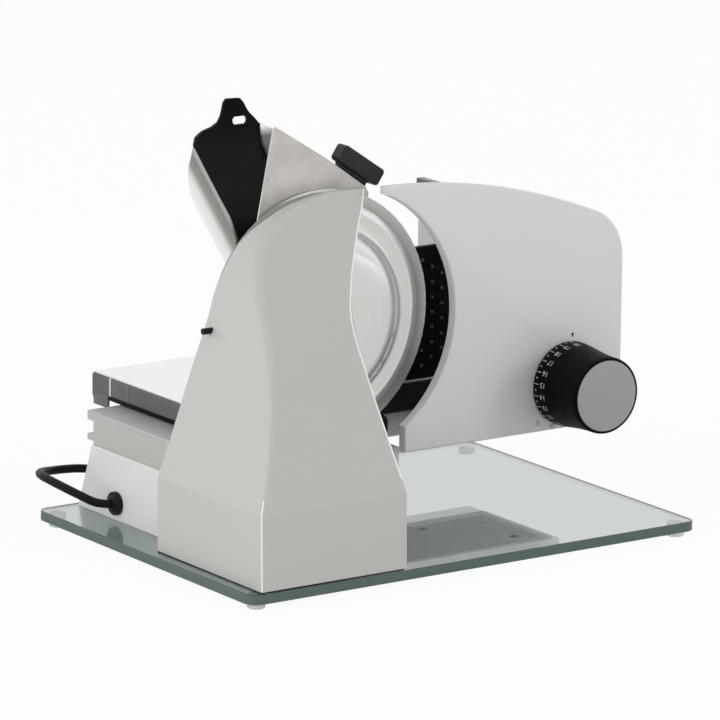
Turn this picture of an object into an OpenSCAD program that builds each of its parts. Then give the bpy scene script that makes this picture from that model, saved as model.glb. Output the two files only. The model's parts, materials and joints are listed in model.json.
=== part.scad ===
// Electric food slicer on a glass base: a motor casing carries a round blade, a stop plate is set
// by a dial, and a carriage with a remnant holder runs on a guide rail beside the blade.
// Millimetres, +Z up. The origin is under the middle of the machine's outline, on the table.
// +X runs along the blade towards the user, +Y is the carriage side.

/* [Glass base] */
// Length of the glass plate along the blade
glass_w = 338; // [320:1:360]
// Depth of the glass plate
glass_d = 248; // [240:1:262]
// Thickness of the glass
glass_t = 6.5; // [5:0.5:9]
// Corner radius of the glass
glass_corner_r = 8; // [4:1:14]
// Diameter of a foot
foot_d = 11; // [9:0.5:16]
// Height of a foot
foot_h = 4; // [3.6:0.2:8]
// Distance of the feet from the edges of the glass
foot_inset = 10; // [9:1:20]
// Thickness of the sheet bracket under the glass
bracket_t = 1.5; // [1:0.1:2]

/* [Motor casing] */
// Thickness of the casing wall
casing_wall = 2.5; // [2:0.1:3]
// Height of the crease where the taper starts
casing_fold_h = 48; // [44:1:52]
// Height of the casing above the blade axis
casing_rise = 82.5; // [77:0.5:83]
// Radius of the casing corner towards the carriage end
casing_corner_r = 9; // [6:0.5:11]
// Radius of the ridge on the other rear corner
casing_ridge_r = 5; // [3:0.5:7]
// Thickness of the gasket between the casing and the glass
gasket_t = 1; // [0.6:0.1:1.6]

/* [Blade] */
// Diameter of the blade
blade_d = 165; // [160:1:168]
// Thickness of the blade
blade_t = 2; // [1.4:0.1:2.4]
// Height of the blade axis above the glass
blade_h = 131.5; // [129:0.5:134]
// Radius of the flat middle of the blade's dish
dish_r = 50; // [44:1:54]
// Depth of the dish in the middle of the blade
dish_depth = 5; // [4:0.2:5.6]
// Diameter of the blade spindle
spindle_d = 10; // [8:0.5:11]
// Thickness of the blade cover sheet
cover_t = 1.2; // [0.8:0.1:1.6]

/* [Drive] */
// Gear module
gear_module = 1; // [0.98:0.01:1.02]
// Teeth of the gear on the blade spindle
blade_teeth = 24; // [24:2:24]
// Diameter of the motor
motor_d = 44; // [40:1:45]
// Length of the motor
motor_len = 36; // [32:1:37]
// Diameter of the motor shaft
motor_shaft_d = 5; // [4:0.5:6]

/* [Stop plate] */
// Thickness of the whole stop plate
stop_t = 7; // [6:0.5:9]
// Thickness of the sheet on its food side
stop_face_t = 3; // [2:0.2:4]
// Distance of the plate behind the blade at the dial setting shown
slice_t = 20; // [18:0.5:20]
// Gap between the blade and the round edge of the plate
blade_gap = 3.4; // [1.4:0.2:4.4]
// Height of the lower edge of the plate above the glass
stop_bottom_h = 43.5; // [42:0.5:45]
// Diameter of the guide rods
guide_rod_d = 8; // [6:0.5:9]

/* [Dial knob] */
// Diameter of the graduated skirt
knob_skirt_d = 55; // [50:0.5:58]
// Length of the knob
knob_len = 42; // [38:0.5:46]
// Diameter of the outer end
knob_end_d = 48; // [46:0.5:49]
// Diameter of the disc inlaid in the end
knob_cap_d = 46; // [40:0.5:46]
// Height of the knob axis above the glass
knob_h = 73; // [71:0.5:77]

/* [Rail and carriage] */
// Height of the lower box that carries the rail
box_h = 43; // [42:0.5:43.5]
// Height of the guide rail
rail_h = 21; // [19:0.5:22]
// Length of the guide rail
rail_len = 306; // [290:1:310]
// Length of the carriage
carriage_len = 232; // [220:1:245]
// Depth of the carriage across the rail
carriage_d = 132; // [128:1:138]
// Thickness of the stainless carriage floor
floor_t = 1.2; // [0.8:0.1:1.6]
// Height of the thumb guard above the carriage floor
guard_h = 111; // [100:1:115]

/* [Remnant holder] */
// Width of the pressing plate
press_w = 157; // [140:1:165]
// Height of the pressing plate
press_h = 85; // [80:1:88]
// Thickness of the pressing plate
press_t = 4; // [3:0.5:5]
// Length of a stud
stud_len = 3; // [2:0.2:3.2]
// Width of the hood
hood_w = 68; // [62:1:72]

/* [Cord] */
// Diameter of the mains cord
cord_d = 5.5; // [5:0.1:5.7]
// Diameter of the flange of the cord gland
gland_d = 15; // [13:0.5:18]

/* [Hidden] */
$fn = 64;
fit = 0.05;
glide = 0.3;
tiny = 0.01;
glass_top = foot_h + glass_t;

// Places along the machine, from the corner of the glass nearest the motor and the carriage end
blade_x = 133;
casing_x = 8;
casing_x1 = 115;
casing_y = 1;
casing_front = 118;
front_wall = 3;
blade_front = casing_front + 9;
blade_r = blade_d / 2;
cover_y = blade_front + 3;
carriage_y = cover_y + 4;
plate_face = blade_front - slice_t;
plate_back = plate_face - stop_t;
plate_right = 350.5;
plate_left = 165;
plate_foot_x = 181.5;
knob_x = 307.8;
rail_x = 29;
rail_y = carriage_y + 8;
rail_bottom = box_h;
rail_top = rail_bottom + rail_h;
carriage_x = 53;
floor_top = rail_top + 16;
outline_mid = [plate_right / 2, (carriage_y + carriage_d) / 2];

// Frame of the machine: x and y from that corner, heights above the glass
module machine() {
    translate([-outline_mid[0], -outline_mid[1], glass_top]) children();
}

// A flat outline in x and height, from one depth to another
module slab_y(y0, y1) {
    translate([0, y1, 0]) rotate([90, 0, 0]) linear_extrude(y1 - y0) children();
}

// An outline in depth and height, from one x to another
module slab_x(x0, x1) {
    translate([x0, 0, 0]) rotate([90, 0, 90]) linear_extrude(x1 - x0) children();
}

module rod_y(x, h, d, y0, y1) {
    translate([x, y1, h]) rotate([90, 0, 0]) cylinder(d = d, h = y1 - y0);
}

module rod_x(y, h, d, x0, x1) {
    translate([x0, y, h]) rotate([0, 90, 0]) cylinder(d = d, h = x1 - x0);
}

module block(x0, x1, y0, y1, h0, h1) {
    translate([x0, y0, h0]) cube([x1 - x0, y1 - y0, h1 - h0]);
}

module round_rect(w, d, r) {
    translate([r, 0]) square([w - 2 * r, d]);
    translate([0, r]) square([w, d - 2 * r]);
    for (x = [r, w - r])
        for (y = [r, d - r])
            translate([x, y]) circle(r);
}

// Skin over rings of points, each ring turning left seen from the end of the sweep
module skin(rings) {
    n = len(rings[0]);
    last = len(rings) - 1;
    side = [for (i = [0 : last - 1])
        for (j = [0 : n - 1])
            let (k = (j + 1) % n)
                each [[i * n + j, (i + 1) * n + j, (i + 1) * n + k], [i * n + j, (i + 1) * n + k, i * n + k]]];
    start = [for (j = [1 : n - 2]) [0, j, j + 1]];
    end = [for (j = [1 : n - 2]) [last * n, last * n + j + 1, last * n + j]];
    polyhedron([for (ring = rings) each ring], concat(side, start, end));
}

// Glass base

bracket_x = [60, 241];
bracket_y = [22.5, 112.5];
casing_screw_at = [[75, 45], [75, 100]];
loose_screw_at = [[182, 80.5], [220.5, 35.5]];
bracket_screw_d = 5;
screw_head_d = 9;
screw_head_h = 1.6;

module glass_base() {
    color([0.72, 0.86, 0.82, 0.5])
        machine() difference() {
            translate([0, 0, -glass_t]) linear_extrude(glass_t) round_rect(glass_w, glass_d, glass_corner_r);
            for (p = casing_screw_at)
                translate([p[0], p[1], -glass_t - 1]) cylinder(d = bracket_screw_d + 1, h = glass_t + 2);
        }
}

module feet() {
    color("whitesmoke")
        machine()
            for (x = [foot_inset, glass_w - foot_inset])
                for (y = [foot_inset, glass_d - foot_inset])
                    translate([x, y, -glass_top]) cylinder(d = foot_d, h = foot_h);
}

module base_bracket() {
    hole_at = [[236.5, 97], [222.5, 73.5], [229.5, 31]];
    color("dimgray")
        machine() difference() {
            block(bracket_x[0], bracket_x[1], bracket_y[0], bracket_y[1], -glass_t - bracket_t, -glass_t);
            for (p = concat(casing_screw_at, loose_screw_at, hole_at))
                translate([p[0], p[1], -glass_t - bracket_t - 1])
                    cylinder(d = bracket_screw_d + 2 * fit, h = bracket_t + 2);
        }
}

module bracket_screws() {
    under = -glass_t - bracket_t;
    color("silver") machine() {
        for (p = casing_screw_at)
            translate([p[0], p[1], under - screw_head_h]) {
                cylinder(d = screw_head_d, h = screw_head_h);
                cylinder(d = bracket_screw_d, h = screw_head_h - under + floor_plate_h1 - tiny);
            }
        for (p = loose_screw_at)
            translate([p[0], p[1], under - screw_head_h]) {
                cylinder(d = screw_head_d, h = screw_head_h);
                cylinder(d = bracket_screw_d, h = screw_head_h + bracket_t);
            }
    }
}

// Motor casing: rows of height, left side, ridge, rear face and front corner on the blade side

casing_top_h = blade_h + casing_rise;
casing_rows = [
    [gasket_t, casing_x, casing_x1, casing_y, casing_x1],
    [casing_fold_h, casing_x, casing_x1, casing_y + 1, casing_x1 + 1],
    [blade_h - 49.5, 21, 108.5, 14, 140],
    [blade_h - 16.5, 33, 105, 30, 152],
    [blade_h + 13.5, 44.5, 109, 54, 151.5],
    [blade_h + 34.5, 52.3, 121, 73, 151.5],
    [blade_h + 58.5, 69.3, 140, 95, 155.5],
    [casing_top_h - 9, 94, 152, 107, 158.5],
    [casing_top_h - 3, 112.5, 156, 111.5, 160],
    [casing_top_h, 131, 157.5, 114, 161]];
casing_steps = 3;
corner_steps = 5;

function blend(a, b, c, d, t) = 0.5 * (2 * b + (c - a) * t + (2 * a - 5 * b + 4 * c - d) * t * t
    + (3 * b - a - 3 * c + d) * t * t * t);

function casing_row(i, t) =
    let (last = len(casing_rows) - 1)
        blend(casing_rows[max(i - 1, 1)], casing_rows[i], casing_rows[i + 1],
            casing_rows[min(i + 2, last)], t);

// All rows: one straight stage below the crease, then a smooth taper
casing_all = concat([casing_rows[0]],
    [for (i = [1 : len(casing_rows) - 2])
        for (s = [0 : casing_steps - 1])
            casing_row(i, s / casing_steps)],
    [casing_rows[len(casing_rows) - 1]]);

function unit(v) = v / norm(v);

// Points round one corner, from the side before it to the side after it
function corner(p, v, q, r) =
    [for (s = [0 : corner_steps])
        let (t = s / corner_steps)
            v + unit(p - v) * r * (1 - t) * (1 - t) + unit(q - v) * r * t * t];

function casing_ring(row, inset) =
    let (a = [row[1] + inset, row[3] + inset],
        b = [row[2] - inset, row[3] + inset],
        c = [row[4] - inset, casing_front - (inset > 0 ? front_wall : 0)],
        d = [row[1] + inset, casing_front - (inset > 0 ? front_wall : 0)],
        room = min((c[1] - a[1]) / 2.2, (b[0] - a[0]) / 2.2),
        ra = min(casing_corner_r, room),
        rb = min(casing_ridge_r, room),
        flat = concat(corner(d, a, b, ra), corner(a, b, c, rb), corner(b, c, d, 1), corner(c, d, a, 1)))
        [for (p = flat) [p[0], p[1], row[0]]];

module casing_cavity() {
    rows = [for (r = casing_all) if (r[0] < casing_top_h - 14) r];
    skin(concat([[for (p = casing_ring(casing_all[0], casing_wall)) [p[0], p[1], 0]]],
        [for (r = rows) if (r[0] > gasket_t) casing_ring(r, casing_wall)]));
}

bush_d = 16;
journal_d = 5;
rear_bush_d = journal_d + 4;
button_y = [52, 76];
button_h = 26;
button_d = [18, 12];
button_travel = 3;

module base_gasket() {
    color("black")
        machine() difference() {
            linear_extrude(gasket_t)
                polygon([for (p = casing_ring(casing_all[0], 0)) [p[0], p[1]]]);
            block(casing_x + 4, casing_x1 - 4, casing_y + 4, casing_front - 4, -1, gasket_t + 1);
        }
}

module casing_body() {
    skin([for (r = casing_all) casing_ring(r, 0)]);
}

module motor_casing() {
    color([0.9, 0.9, 0.88])
        machine() difference() {
            casing_body();
            casing_cavity();
            rod_y(blade_x, blade_h, bush_d, casing_front - 20, casing_front + 1);
            for (i = [0, 1])
                rod_x(button_y[i], button_h, button_d[i] + 2 * glide, casing_x1 - 20, casing_x1 + 5);
        }
}

floor_plate_t = 4;
floor_plate_h1 = gasket_t + floor_plate_t;
floor_plate_w = casing_x1 - casing_x - 2 * casing_wall - 2 * glide;
floor_plate_d = casing_front - front_wall - casing_y - casing_wall - 2 * glide - 1;

// Steel floor inside the casing, clamped to the glass by two of the screws
module casing_floor() {
    gap = casing_wall + glide;
    color("gray")
        machine() difference() {
            translate([casing_x + gap, casing_y + gap, gasket_t])
                linear_extrude(floor_plate_t) round_rect(floor_plate_w, floor_plate_d, casing_corner_r);
            for (p = casing_screw_at)
                translate([p[0], p[1], -1]) cylinder(d = bracket_screw_d + 2 * fit, h = floor_plate_h1 + 2);
        }
}

// Short peg on the side of the casing, near the blade
module side_peg() {
    peg_h = blade_h + 6.5;
    peg_y = 110;
    color("black")
        machine() difference() {
            rod_x(peg_y, peg_h, 4, 35.5, 46);
            casing_body();
        }
}

// Drive: motor pinion, idler with two gears, blade gear

idler_small_teeth = 16;
idler_big_teeth = 30;
pinion_teeth = 10;
blade_gear_y = [108.5, 113.5];
motor_gear_y = [102, 107];
gear_plate_y = [98, 101];
idler_angle = 202;
motor_angle = 195;
idler_far = gear_module * (blade_teeth + idler_small_teeth) / 2;
motor_far = gear_module * (idler_big_teeth + pinion_teeth) / 2;
idler_x = blade_x + idler_far * cos(idler_angle);
idler_h = blade_h + idler_far * sin(idler_angle);
motor_x = idler_x + motor_far * cos(motor_angle);
motor_h = idler_h + motor_far * sin(motor_angle);
idler_pin_d = 6;
pillar_d = 8;
pillar_at = [[blade_x - 8, blade_h + 22], [blade_x - 58, blade_h - 40], [blade_x - 48, blade_h + 12],
    [blade_x - 7, blade_h - 40]];

// Straight-sided teeth on a disc, the first tooth at the given angle
module gear_outline(teeth, first) {
    pitch_r = gear_module * teeth / 2;
    tip_r = pitch_r + 0.8 * gear_module;
    root_r = pitch_r - 1.15 * gear_module;
    step = 360 / teeth;
    polygon([for (i = [0 : teeth - 1])
        each [for (p = [[root_r, -0.34], [tip_r, -0.13], [tip_r, 0.13], [root_r, 0.34]])
            let (a = first + step * (i + p[1]))
                p[0] * [cos(a), sin(a)]]]);
}

module gear(x, h, teeth, first, bore, y0, y1) {
    translate([x, 0, h]) slab_y(y0, y1)
        difference() {
            gear_outline(teeth, first);
            circle(d = bore);
        }
}

module gear_plate() {
    color("silver")
        machine() difference() {
            slab_y(gear_plate_y[0], gear_plate_y[1]) {
                translate([blade_x - 66, blade_h - 48]) round_rect(64, 78, 6);
                translate([blade_x, blade_h]) circle(d = rear_bush_d + 2);
            }
            rod_y(blade_x, blade_h, rear_bush_d, gear_plate_y[0] - 1, gear_plate_y[1] + 1);
            rod_y(idler_x, idler_h, idler_pin_d + 2 * tiny, gear_plate_y[0] - 1, gear_plate_y[1] + 1);
            rod_y(motor_x, motor_h, motor_shaft_d + 3, gear_plate_y[0] - 1, gear_plate_y[1] + 1);
        }
}

module gear_pillars() {
    color("silver") machine()
        for (p = pillar_at)
            rod_y(p[0], p[1], pillar_d, gear_plate_y[1], casing_front - front_wall);
}

module spindle_bushes() {
    color("peru") machine()
        for (b = [[gear_plate_y[0], gear_plate_y[1], rear_bush_d, journal_d],
            [casing_front - front_wall, casing_front, bush_d, spindle_d]])
            difference() {
                rod_y(blade_x, blade_h, b[2] - 2 * tiny, b[0], b[1]);
                rod_y(blade_x, blade_h, b[3] + 2 * fit, b[0] - 1, b[1] + 1);
            }
}

module idler_pin() {
    color("silver") machine()
        rod_y(idler_x, idler_h, idler_pin_d, gear_plate_y[0], casing_front - front_wall);
}

motor_y1 = gear_plate_y[0];
motor_y0 = motor_y1 - motor_len;
motor_cap_t = 3;
rotor_d = motor_d - 18;

module motor_stator() {
    color("slategray")
        machine() difference() {
            rod_y(motor_x, motor_h, motor_d, motor_y0 + motor_cap_t, motor_y1 - motor_cap_t);
            rod_y(motor_x, motor_h, rotor_d + 2 * glide, motor_y0, motor_y1);
        }
}

module motor_cap(y0, y1) {
    color("darkgray")
        machine() difference() {
            rod_y(motor_x, motor_h, motor_d, y0, y1);
            rod_y(motor_x, motor_h, motor_shaft_d + 2 * fit, y0 - 1, y1 + 1);
        }
}

module motor_front_cap() {
    motor_cap(motor_y1 - motor_cap_t, motor_y1);
}

module motor_rear_cap() {
    motor_cap(motor_y0, motor_y0 + motor_cap_t);
}

module run_capacitor() {
    color("white") machine() translate([40, 30, floor_plate_h1]) {
        cylinder(d = 28, h = 46);
        for (x = [-5, 5])
            translate([x, 0, 46]) cylinder(d = 4, h = 6);
    }
}

module terminal_block() {
    color("ivory")
        machine() difference() {
            block(50, 90, 96, 110, floor_plate_h1, floor_plate_h1 + 14);
            for (x = [57, 66, 75, 84])
                translate([x, 103, floor_plate_h1 + 6]) cylinder(d = 5, h = 9);
        }
}

button_flange_x = casing_x1 - casing_wall - glide;
button_flange_t = 2;
plunger_len = 1;
switch_face = button_flange_x - button_flange_t - button_travel - glide - plunger_len;

module switch_block() {
    color("dimgray") machine() {
        block(switch_face - 18, switch_face, 40, 88, floor_plate_h1, button_h + 12);
        for (y = button_y)
            rod_x(y, button_h, 4, switch_face, switch_face + plunger_len);
    }
}

module push_button(i, cap) {
    color(cap) machine() {
        rod_x(button_y[i], button_h, button_d[i] + 4, button_flange_x - button_flange_t, button_flange_x);
        rod_x(button_y[i], button_h, button_d[i], button_flange_x - tiny, casing_x1 + 5);
    }
}

module start_button() {
    push_button(0, "black");
}

module lock_button() {
    push_button(1, "red");
}

// Lower box with the cord compartment, and the guide rail on it

box_x = 27.5;
box_x1 = 190;
box_y1 = 242;
box_wall = 3;
store_x = [46, box_x1 - box_wall];
store_y0 = 168;
store_h = [3, 38];
gland_y = 195.4;
gland_h = 11.5;
blade_clear = 3;

// The carriage side of the box leans in to the rail, and its top clears the blade
module rail_support() {
    color([0.9, 0.9, 0.88])
        machine() difference() {
            slab_x(box_x, box_x1)
                polygon([[casing_front, 0], [box_y1, 0], [rail_back, box_h], [casing_front, box_h]]);
            block(store_x[0], store_x[1], store_y0, box_y1 + 1, store_h[0], store_h[1]);
            block(box_x + box_wall, store_x[0] - box_wall, store_y0, rail_back - box_wall, -1, store_h[1]);
            block(box_x + box_wall, store_x[1], casing_front + 1 + box_wall, store_y0 - box_wall, -1, store_h[1]);
            rod_y(blade_x, blade_h, blade_d + 2 * blade_clear, casing_front - 1, cover_y + blade_clear);
            rod_x(gland_y, gland_h, cord_d + 4, box_x - 1, box_x + box_wall + 1);
            for (p = rail_screw_at)
                translate([p[0], p[1], box_h - 6]) cylinder(d = rail_screw_d + 2 * tiny, h = 7);
        }
}

rail_back = 226;
hook_back = 233;
slot_h = [6, 15];
web_t = 4;
skin_h = 3;
chamber_w = (rail_back - rail_y - 3 * web_t) / 2;
rail_screw_at = [[60, 158], [170, 158], [60, 206], [170, 206]];
rail_screw_d = 4;

rail_end_t = 2.5;

module rail_outline() {
    difference() {
        union() {
            translate([rail_y, 0]) square([rail_back - rail_y, rail_h]);
            translate([rail_back - 1, slot_h[1]]) square([hook_back - rail_back + 1, rail_h - slot_h[1]]);
            translate([rail_back - 1, 2]) square([hook_back - rail_back + 1, slot_h[0] - 2]);
        }
        for (y = [rail_y + web_t, rail_y + 2 * web_t + chamber_w])
            translate([y, skin_h]) square([chamber_w, rail_h - 2 * skin_h]);
    }
}

module guide_rail() {
    color("gainsboro")
        machine() difference() {
            translate([0, 0, rail_bottom]) {
                slab_x(rail_x, rail_x + rail_len) rail_outline();
                slab_x(rail_x, rail_x + rail_end_t) translate([rail_y + 1, 1])
                    square([rail_back - rail_y - 2, rail_h - 2]);
            }
            for (x = rod_x_at)
                rod_y(x, rod_h, rod_bush_d + 2 * tiny, rail_y - 1, rail_y + web_t + 1);
            for (x = bracket_bolt_x)
                rod_y(x, rod_h, bracket_bolt_d + 2 * tiny, rail_y - 1, rail_y + web_t + 1);
            for (p = rail_screw_at)
                translate([p[0], p[1], rail_bottom - 1]) cylinder(d = rail_screw_d + 2 * fit, h = 5);
        }
}

module rail_screws() {
    color("silver") machine()
        for (p = rail_screw_at)
            translate([p[0], p[1], 0]) {
                translate([0, 0, rail_bottom + skin_h]) cylinder(d = 7, h = 2.5);
                translate([0, 0, rail_bottom - 5]) cylinder(d = rail_screw_d, h = 8 + tiny);
            }
}

// Stop plate guides and the dial's fixed screw spindle

rod_x_at = [222, 268];
rod_h = rail_bottom + rail_h / 2;
rod_bush_d = guide_rod_d + 4;
rod_bush_len = 16;
bracket_bolt_x = [knob_x - 12, knob_x + 12];
bracket_bolt_d = 4;
bracket_front = carriage_y - 5;
bracket_back = carriage_y - 1;
adjust_d = 10;

module rod_bushes() {
    color("peru") machine()
        for (x = rod_x_at)
            difference() {
                rod_y(x, rod_h, rod_bush_d, rail_y, rail_y + rod_bush_len);
                rod_y(x, rod_h, guide_rod_d + 2 * fit, rail_y - 1, rail_y + rod_bush_len + 1);
            }
}

module adjuster_bracket() {
    color("gray")
        machine() difference() {
            slab_y(bracket_front, bracket_back)
                translate([knob_x - 20, rail_bottom + 1.5]) round_rect(40, knob_h + 16 - rail_bottom, 4);
            for (x = bracket_bolt_x)
                rod_y(x, rod_h, bracket_bolt_d + 2 * tiny, bracket_front - 1, bracket_back + 1);
            rod_y(knob_x, knob_h, adjust_d - 4 + 2 * tiny, bracket_front - 1, bracket_back + 1);
        }
}

module adjuster_spindle() {
    color("silver") machine() {
        rod_y(knob_x, knob_h, adjust_d, plate_back - 13, bracket_front);
        rod_y(knob_x, knob_h, adjust_d - 4, bracket_front - tiny, bracket_back);
    }
}

// Shouldered bolts that hold the bracket off the rail, below the skirt of the carriage
module bracket_bolts() {
    color("silver") machine()
        for (x = bracket_bolt_x) {
            rod_y(x, rod_h, bracket_bolt_d, bracket_front, rail_y + web_t + 2);
            rod_y(x, rod_h, bracket_bolt_d + 4, bracket_back, rail_y);
        }
}

// Blade cover on the food side, with its grip

cover_post_d = 8;
cover_post_far = blade_r + blade_clear + cover_post_d / 2;
cover_post_at = [for (a = [200, 222]) [blade_x, blade_h] + cover_post_far * [cos(a), sin(a)]];
cover_screw_d = 4;
cover_scale = blade_d / 165;
grip_at = [blade_x + 33 * cover_scale, blade_h + 93.5 * cover_scale];
grip_size = [36, 11.5];
grip_angle = -34;
grip_lap = 7;

// Sheet outline round the blade axis, drawn for a blade of 170
cover_points = [[-33, 122], [-31.5, 124.5], [-29.5, 123.5], [7.5, 100.5], [37, 79.5], [39.5, 75.5],
    [39, 70], [43, 54.5], [43, -69.5], [-99, -69.5], [-91, -31.5], [-75, 18.5], [-45, 61.5]];

module cover_outline() {
    difference() {
        union() {
            translate([blade_x, blade_h]) polygon(cover_points * cover_scale);
            for (p = cover_post_at)
                translate(p) circle(d = cover_post_d + 4);
        }
        difference() {
            translate([blade_x, blade_h - blade_r]) square([blade_r, 2 * blade_r + 4]);
            translate([blade_x, blade_h]) circle(r = blade_r - 12);
            translate([blade_x, blade_h + 50]) square([blade_r, blade_r]);
        }
    }
}

module cover_posts() {
    color("silver") machine()
        for (p = cover_post_at)
            rod_y(p[0], p[1], cover_post_d, casing_front, cover_y);
}

module blade_cover() {
    color("silver")
        machine() difference() {
            slab_y(cover_y, cover_y + cover_t) cover_outline();
            for (p = cover_post_at)
                rod_y(p[0], p[1], cover_screw_d + 2 * tiny, cover_y - 1, cover_y + cover_t + 1);
        }
}

module cover_screws() {
    color("silver") machine()
        for (p = cover_post_at) {
            rod_y(p[0], p[1], cover_screw_d, cover_y, cover_y + cover_t + 1);
            rod_y(p[0], p[1], 8, cover_y + cover_t, cover_y + cover_t + 1.5);
        }
}

// The grip is slotted over the slanted edge of the cover
module cover_grip() {
    color("black")
        machine() difference() {
            union() {
                slab_y(cover_y - 2, cover_y + 8)
                    translate(grip_at) rotate(grip_angle) translate(-grip_size / 2)
                        round_rect(grip_size[0], grip_size[1], 2.5);
                slab_y(cover_y + cover_t, cover_y + 6)
                    translate(grip_at) rotate(grip_angle) translate(-grip_size / 2 + [4, -grip_lap])
                        square([grip_size[0] - 10, grip_lap + 4]);
            }
            slab_y(cover_y - tiny, cover_y + cover_t + tiny) cover_outline();
        }
}

// Cord, its gland and its plug

gland_out = 4.5;
cord_sides = 10;
cord_points = [[22.5, gland_y, gland_h], [12, 196, 14], [2, 200.5, 19.5], [-5, 209, 24], [-8, 220.5, 26.5],
    [-6, 232.5, 26.5], [1, 243, 25], [12, 249.5, 23], [24, 251.5, 22], [36, 250.5, 21],
    [47, 247, 19], [57, 242.5, 16], [67, 238, 12], [77, 234, 8.5], [89, 231, 6.6]];

hank_sides = 6;
hank_run = 62;
hank_r = 29;
hank_pitch = 6.2;
hank_layer = 6.6;
hank_turns = 4;
hank_steps = 24;
hank_mid = [cord_points[len(cord_points) - 1][0], cord_points[len(cord_points) - 1][1] - hank_r];
hank_low = cord_points[len(cord_points) - 1][2];

function ease(s) = s * s * (3 - 2 * s);

// One place on a loop with straight runs: two quarters straight, two half circles
function loop_at(turn, r) =
    let (t = turn - floor(turn), q = floor(t * 4), s = t * 4 - q)
        q == 0 ? [hank_run * s, r] :
        q == 1 ? [hank_run + r * sin(180 * s), r * cos(180 * s)] :
        q == 2 ? [hank_run * (1 - s), -r] : [-r * sin(180 * s), -r * cos(180 * s)];

// The loops wind in, climb a layer in the half turn where they reverse, wind out again, and the last
// run climbs over them towards the plug
function hank_at(turn) =
    let (half = hank_turns / 2,
        r = hank_r - hank_pitch * min(turn, hank_turns - turn),
        up = max(0, min(1, (turn - half + 0.25) * 2)),
        over = max(0, min(1, (turn - hank_turns + 0.5) * 4)),
        p = loop_at(turn, r))
        [hank_mid[0] + p[0], hank_mid[1] + p[1], hank_low + hank_layer * (ease(up) + ease(over))];

tail_r = 19;
tail_turn = hank_turns - 0.25;
tail_rise = 4.5;
tail_start = hank_at(tail_turn);
plug_x = tail_start[0] + 24;
plug_y = tail_start[1] + 2 * tail_r;
plug_h = tail_start[2] + tail_rise;

hank_points = concat(
    [for (i = [0 : hank_steps * tail_turn]) hank_at(i / hank_steps)],
    [for (i = [1 : 12])
        let (a = 180 * i / 12, s = i / 12)
            tail_start + [-tail_r * sin(a), tail_r * (1 - cos(a)), tail_rise * ease(s)]],
    [for (x = [8, 16, 24]) [tail_start[0] + x, plug_y, plug_h]]);

// Least distance between stretches of the hank that are not next to each other, less the cord
hank_gap = min([for (i = [0 : len(hank_points) - 1])
    for (j = [i + 8 : 1 : len(hank_points) - 1])
        norm(hank_points[i] - hank_points[j])]) - cord_d;
echo(hank_least_gap = hank_gap);

function way(points, i) =
    unit(points[min(i + 1, len(points) - 1)] - points[max(i - 1, 0)]);

function tube(points, d, sides) =
    [for (i = [0 : len(points) - 1])
        let (t = i == 0 || i == len(points) - 1 ? [sign(way(points, i)[0]), 0, 0] : way(points, i),
            u = unit(cross([0, 0, 1], t)),
            v = cross(t, u))
            [for (s = [0 : sides - 1])
                points[i] + d / 2 * (cos(360 * s / sides) * u + sin(360 * s / sides) * v)]];

module cord_gland() {
    color("black")
        machine() difference() {
            union() {
                rod_x(gland_y, gland_h, cord_d + 4 - 2 * tiny, box_x, box_x + box_wall + 3);
                rod_x(gland_y, gland_h, gland_d, box_x - 3, box_x);
                translate([box_x - 3, gland_y, gland_h]) rotate([0, -90, 0])
                    cylinder(d1 = cord_d + 5, d2 = cord_d + 2.4, h = gland_out - 3 + 0.5);
            }
            rod_x(gland_y, gland_h, cord_d, box_x + box_wall - 2, box_x + box_wall + 4);
        }
}

module cord_lead() {
    color("black") machine() skin(tube(cord_points, cord_d, cord_sides));
}

module cord_hank() {
    color("black") machine() skin(tube(hank_points, cord_d, hank_sides));
}

tie_x = hank_mid[0] + hank_run / 2;

module cord_tie() {
    y0 = hank_mid[1] + hank_r - hank_pitch * hank_turns / 2 - cord_d / 2 - glide;
    y1 = hank_mid[1] + hank_r + cord_d / 2 + glide;
    h0 = hank_low - cord_d / 2 - glide;
    h1 = hank_low + hank_layer + cord_d / 2 + glide;
    color("gray")
        machine() difference() {
            block(tie_x - 3, tie_x + 3, y0 - 0.6, y1 + 0.6, h0, h1 + 0.6);
            block(tie_x - 4, tie_x + 4, y0, y1, h0 - 1, h1);
        }
}

plug_len = 34;
plug_w = 26;
plug_t = 13;
pin_d = 4;
pin_len = 19;
pin_apart = 18;

module plug() {
    color("black") machine() translate([plug_x, plug_y, plug_h])
        difference() {
            union() {
                rotate([0, 90, 0]) cylinder(d1 = cord_d + 2, d2 = plug_t, h = 12);
                translate([10, -plug_w / 2, -plug_t / 2]) cube([plug_len - 10, plug_w, plug_t]);
            }
            for (y = [-pin_apart / 2, pin_apart / 2])
                translate([plug_len - 8, y, 0]) rotate([0, 90, 0]) cylinder(d = pin_d + 2 * tiny, h = 9);
        }
}

module plug_pins() {
    color("silver") machine() translate([plug_x + plug_len - 8, plug_y, plug_h])
        for (y = [-pin_apart / 2, pin_apart / 2])
            translate([0, y, 0]) rotate([0, 90, 0]) cylinder(d = pin_d, h = 8 + pin_len);
}

// Blade and what turns with it

dish_wall = 10;
bevel_w = 9;
hub_back = blade_front - dish_depth - blade_t;

module blade() {
    f = 0;
    b = -blade_t;
    color("silver")
        machine() translate([blade_x, blade_front, blade_h]) rotate([-90, 0, 0])
            difference() {
                rotate_extrude($fn = 120)
                    polygon([[0, -dish_depth], [dish_r, -dish_depth], [dish_r + dish_wall, f], [blade_r - 0.6, f],
                        [blade_r, -0.4], [blade_r - bevel_w, b], [dish_r + dish_wall + 1, b],
                        [dish_r + 1, b - dish_depth], [0, b - dish_depth]]);
                translate([0, 0, -dish_depth - blade_t - 1])
                    cylinder(d = spindle_d + 2 * tiny, h = dish_depth + blade_t + 2);
            }
}

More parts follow.
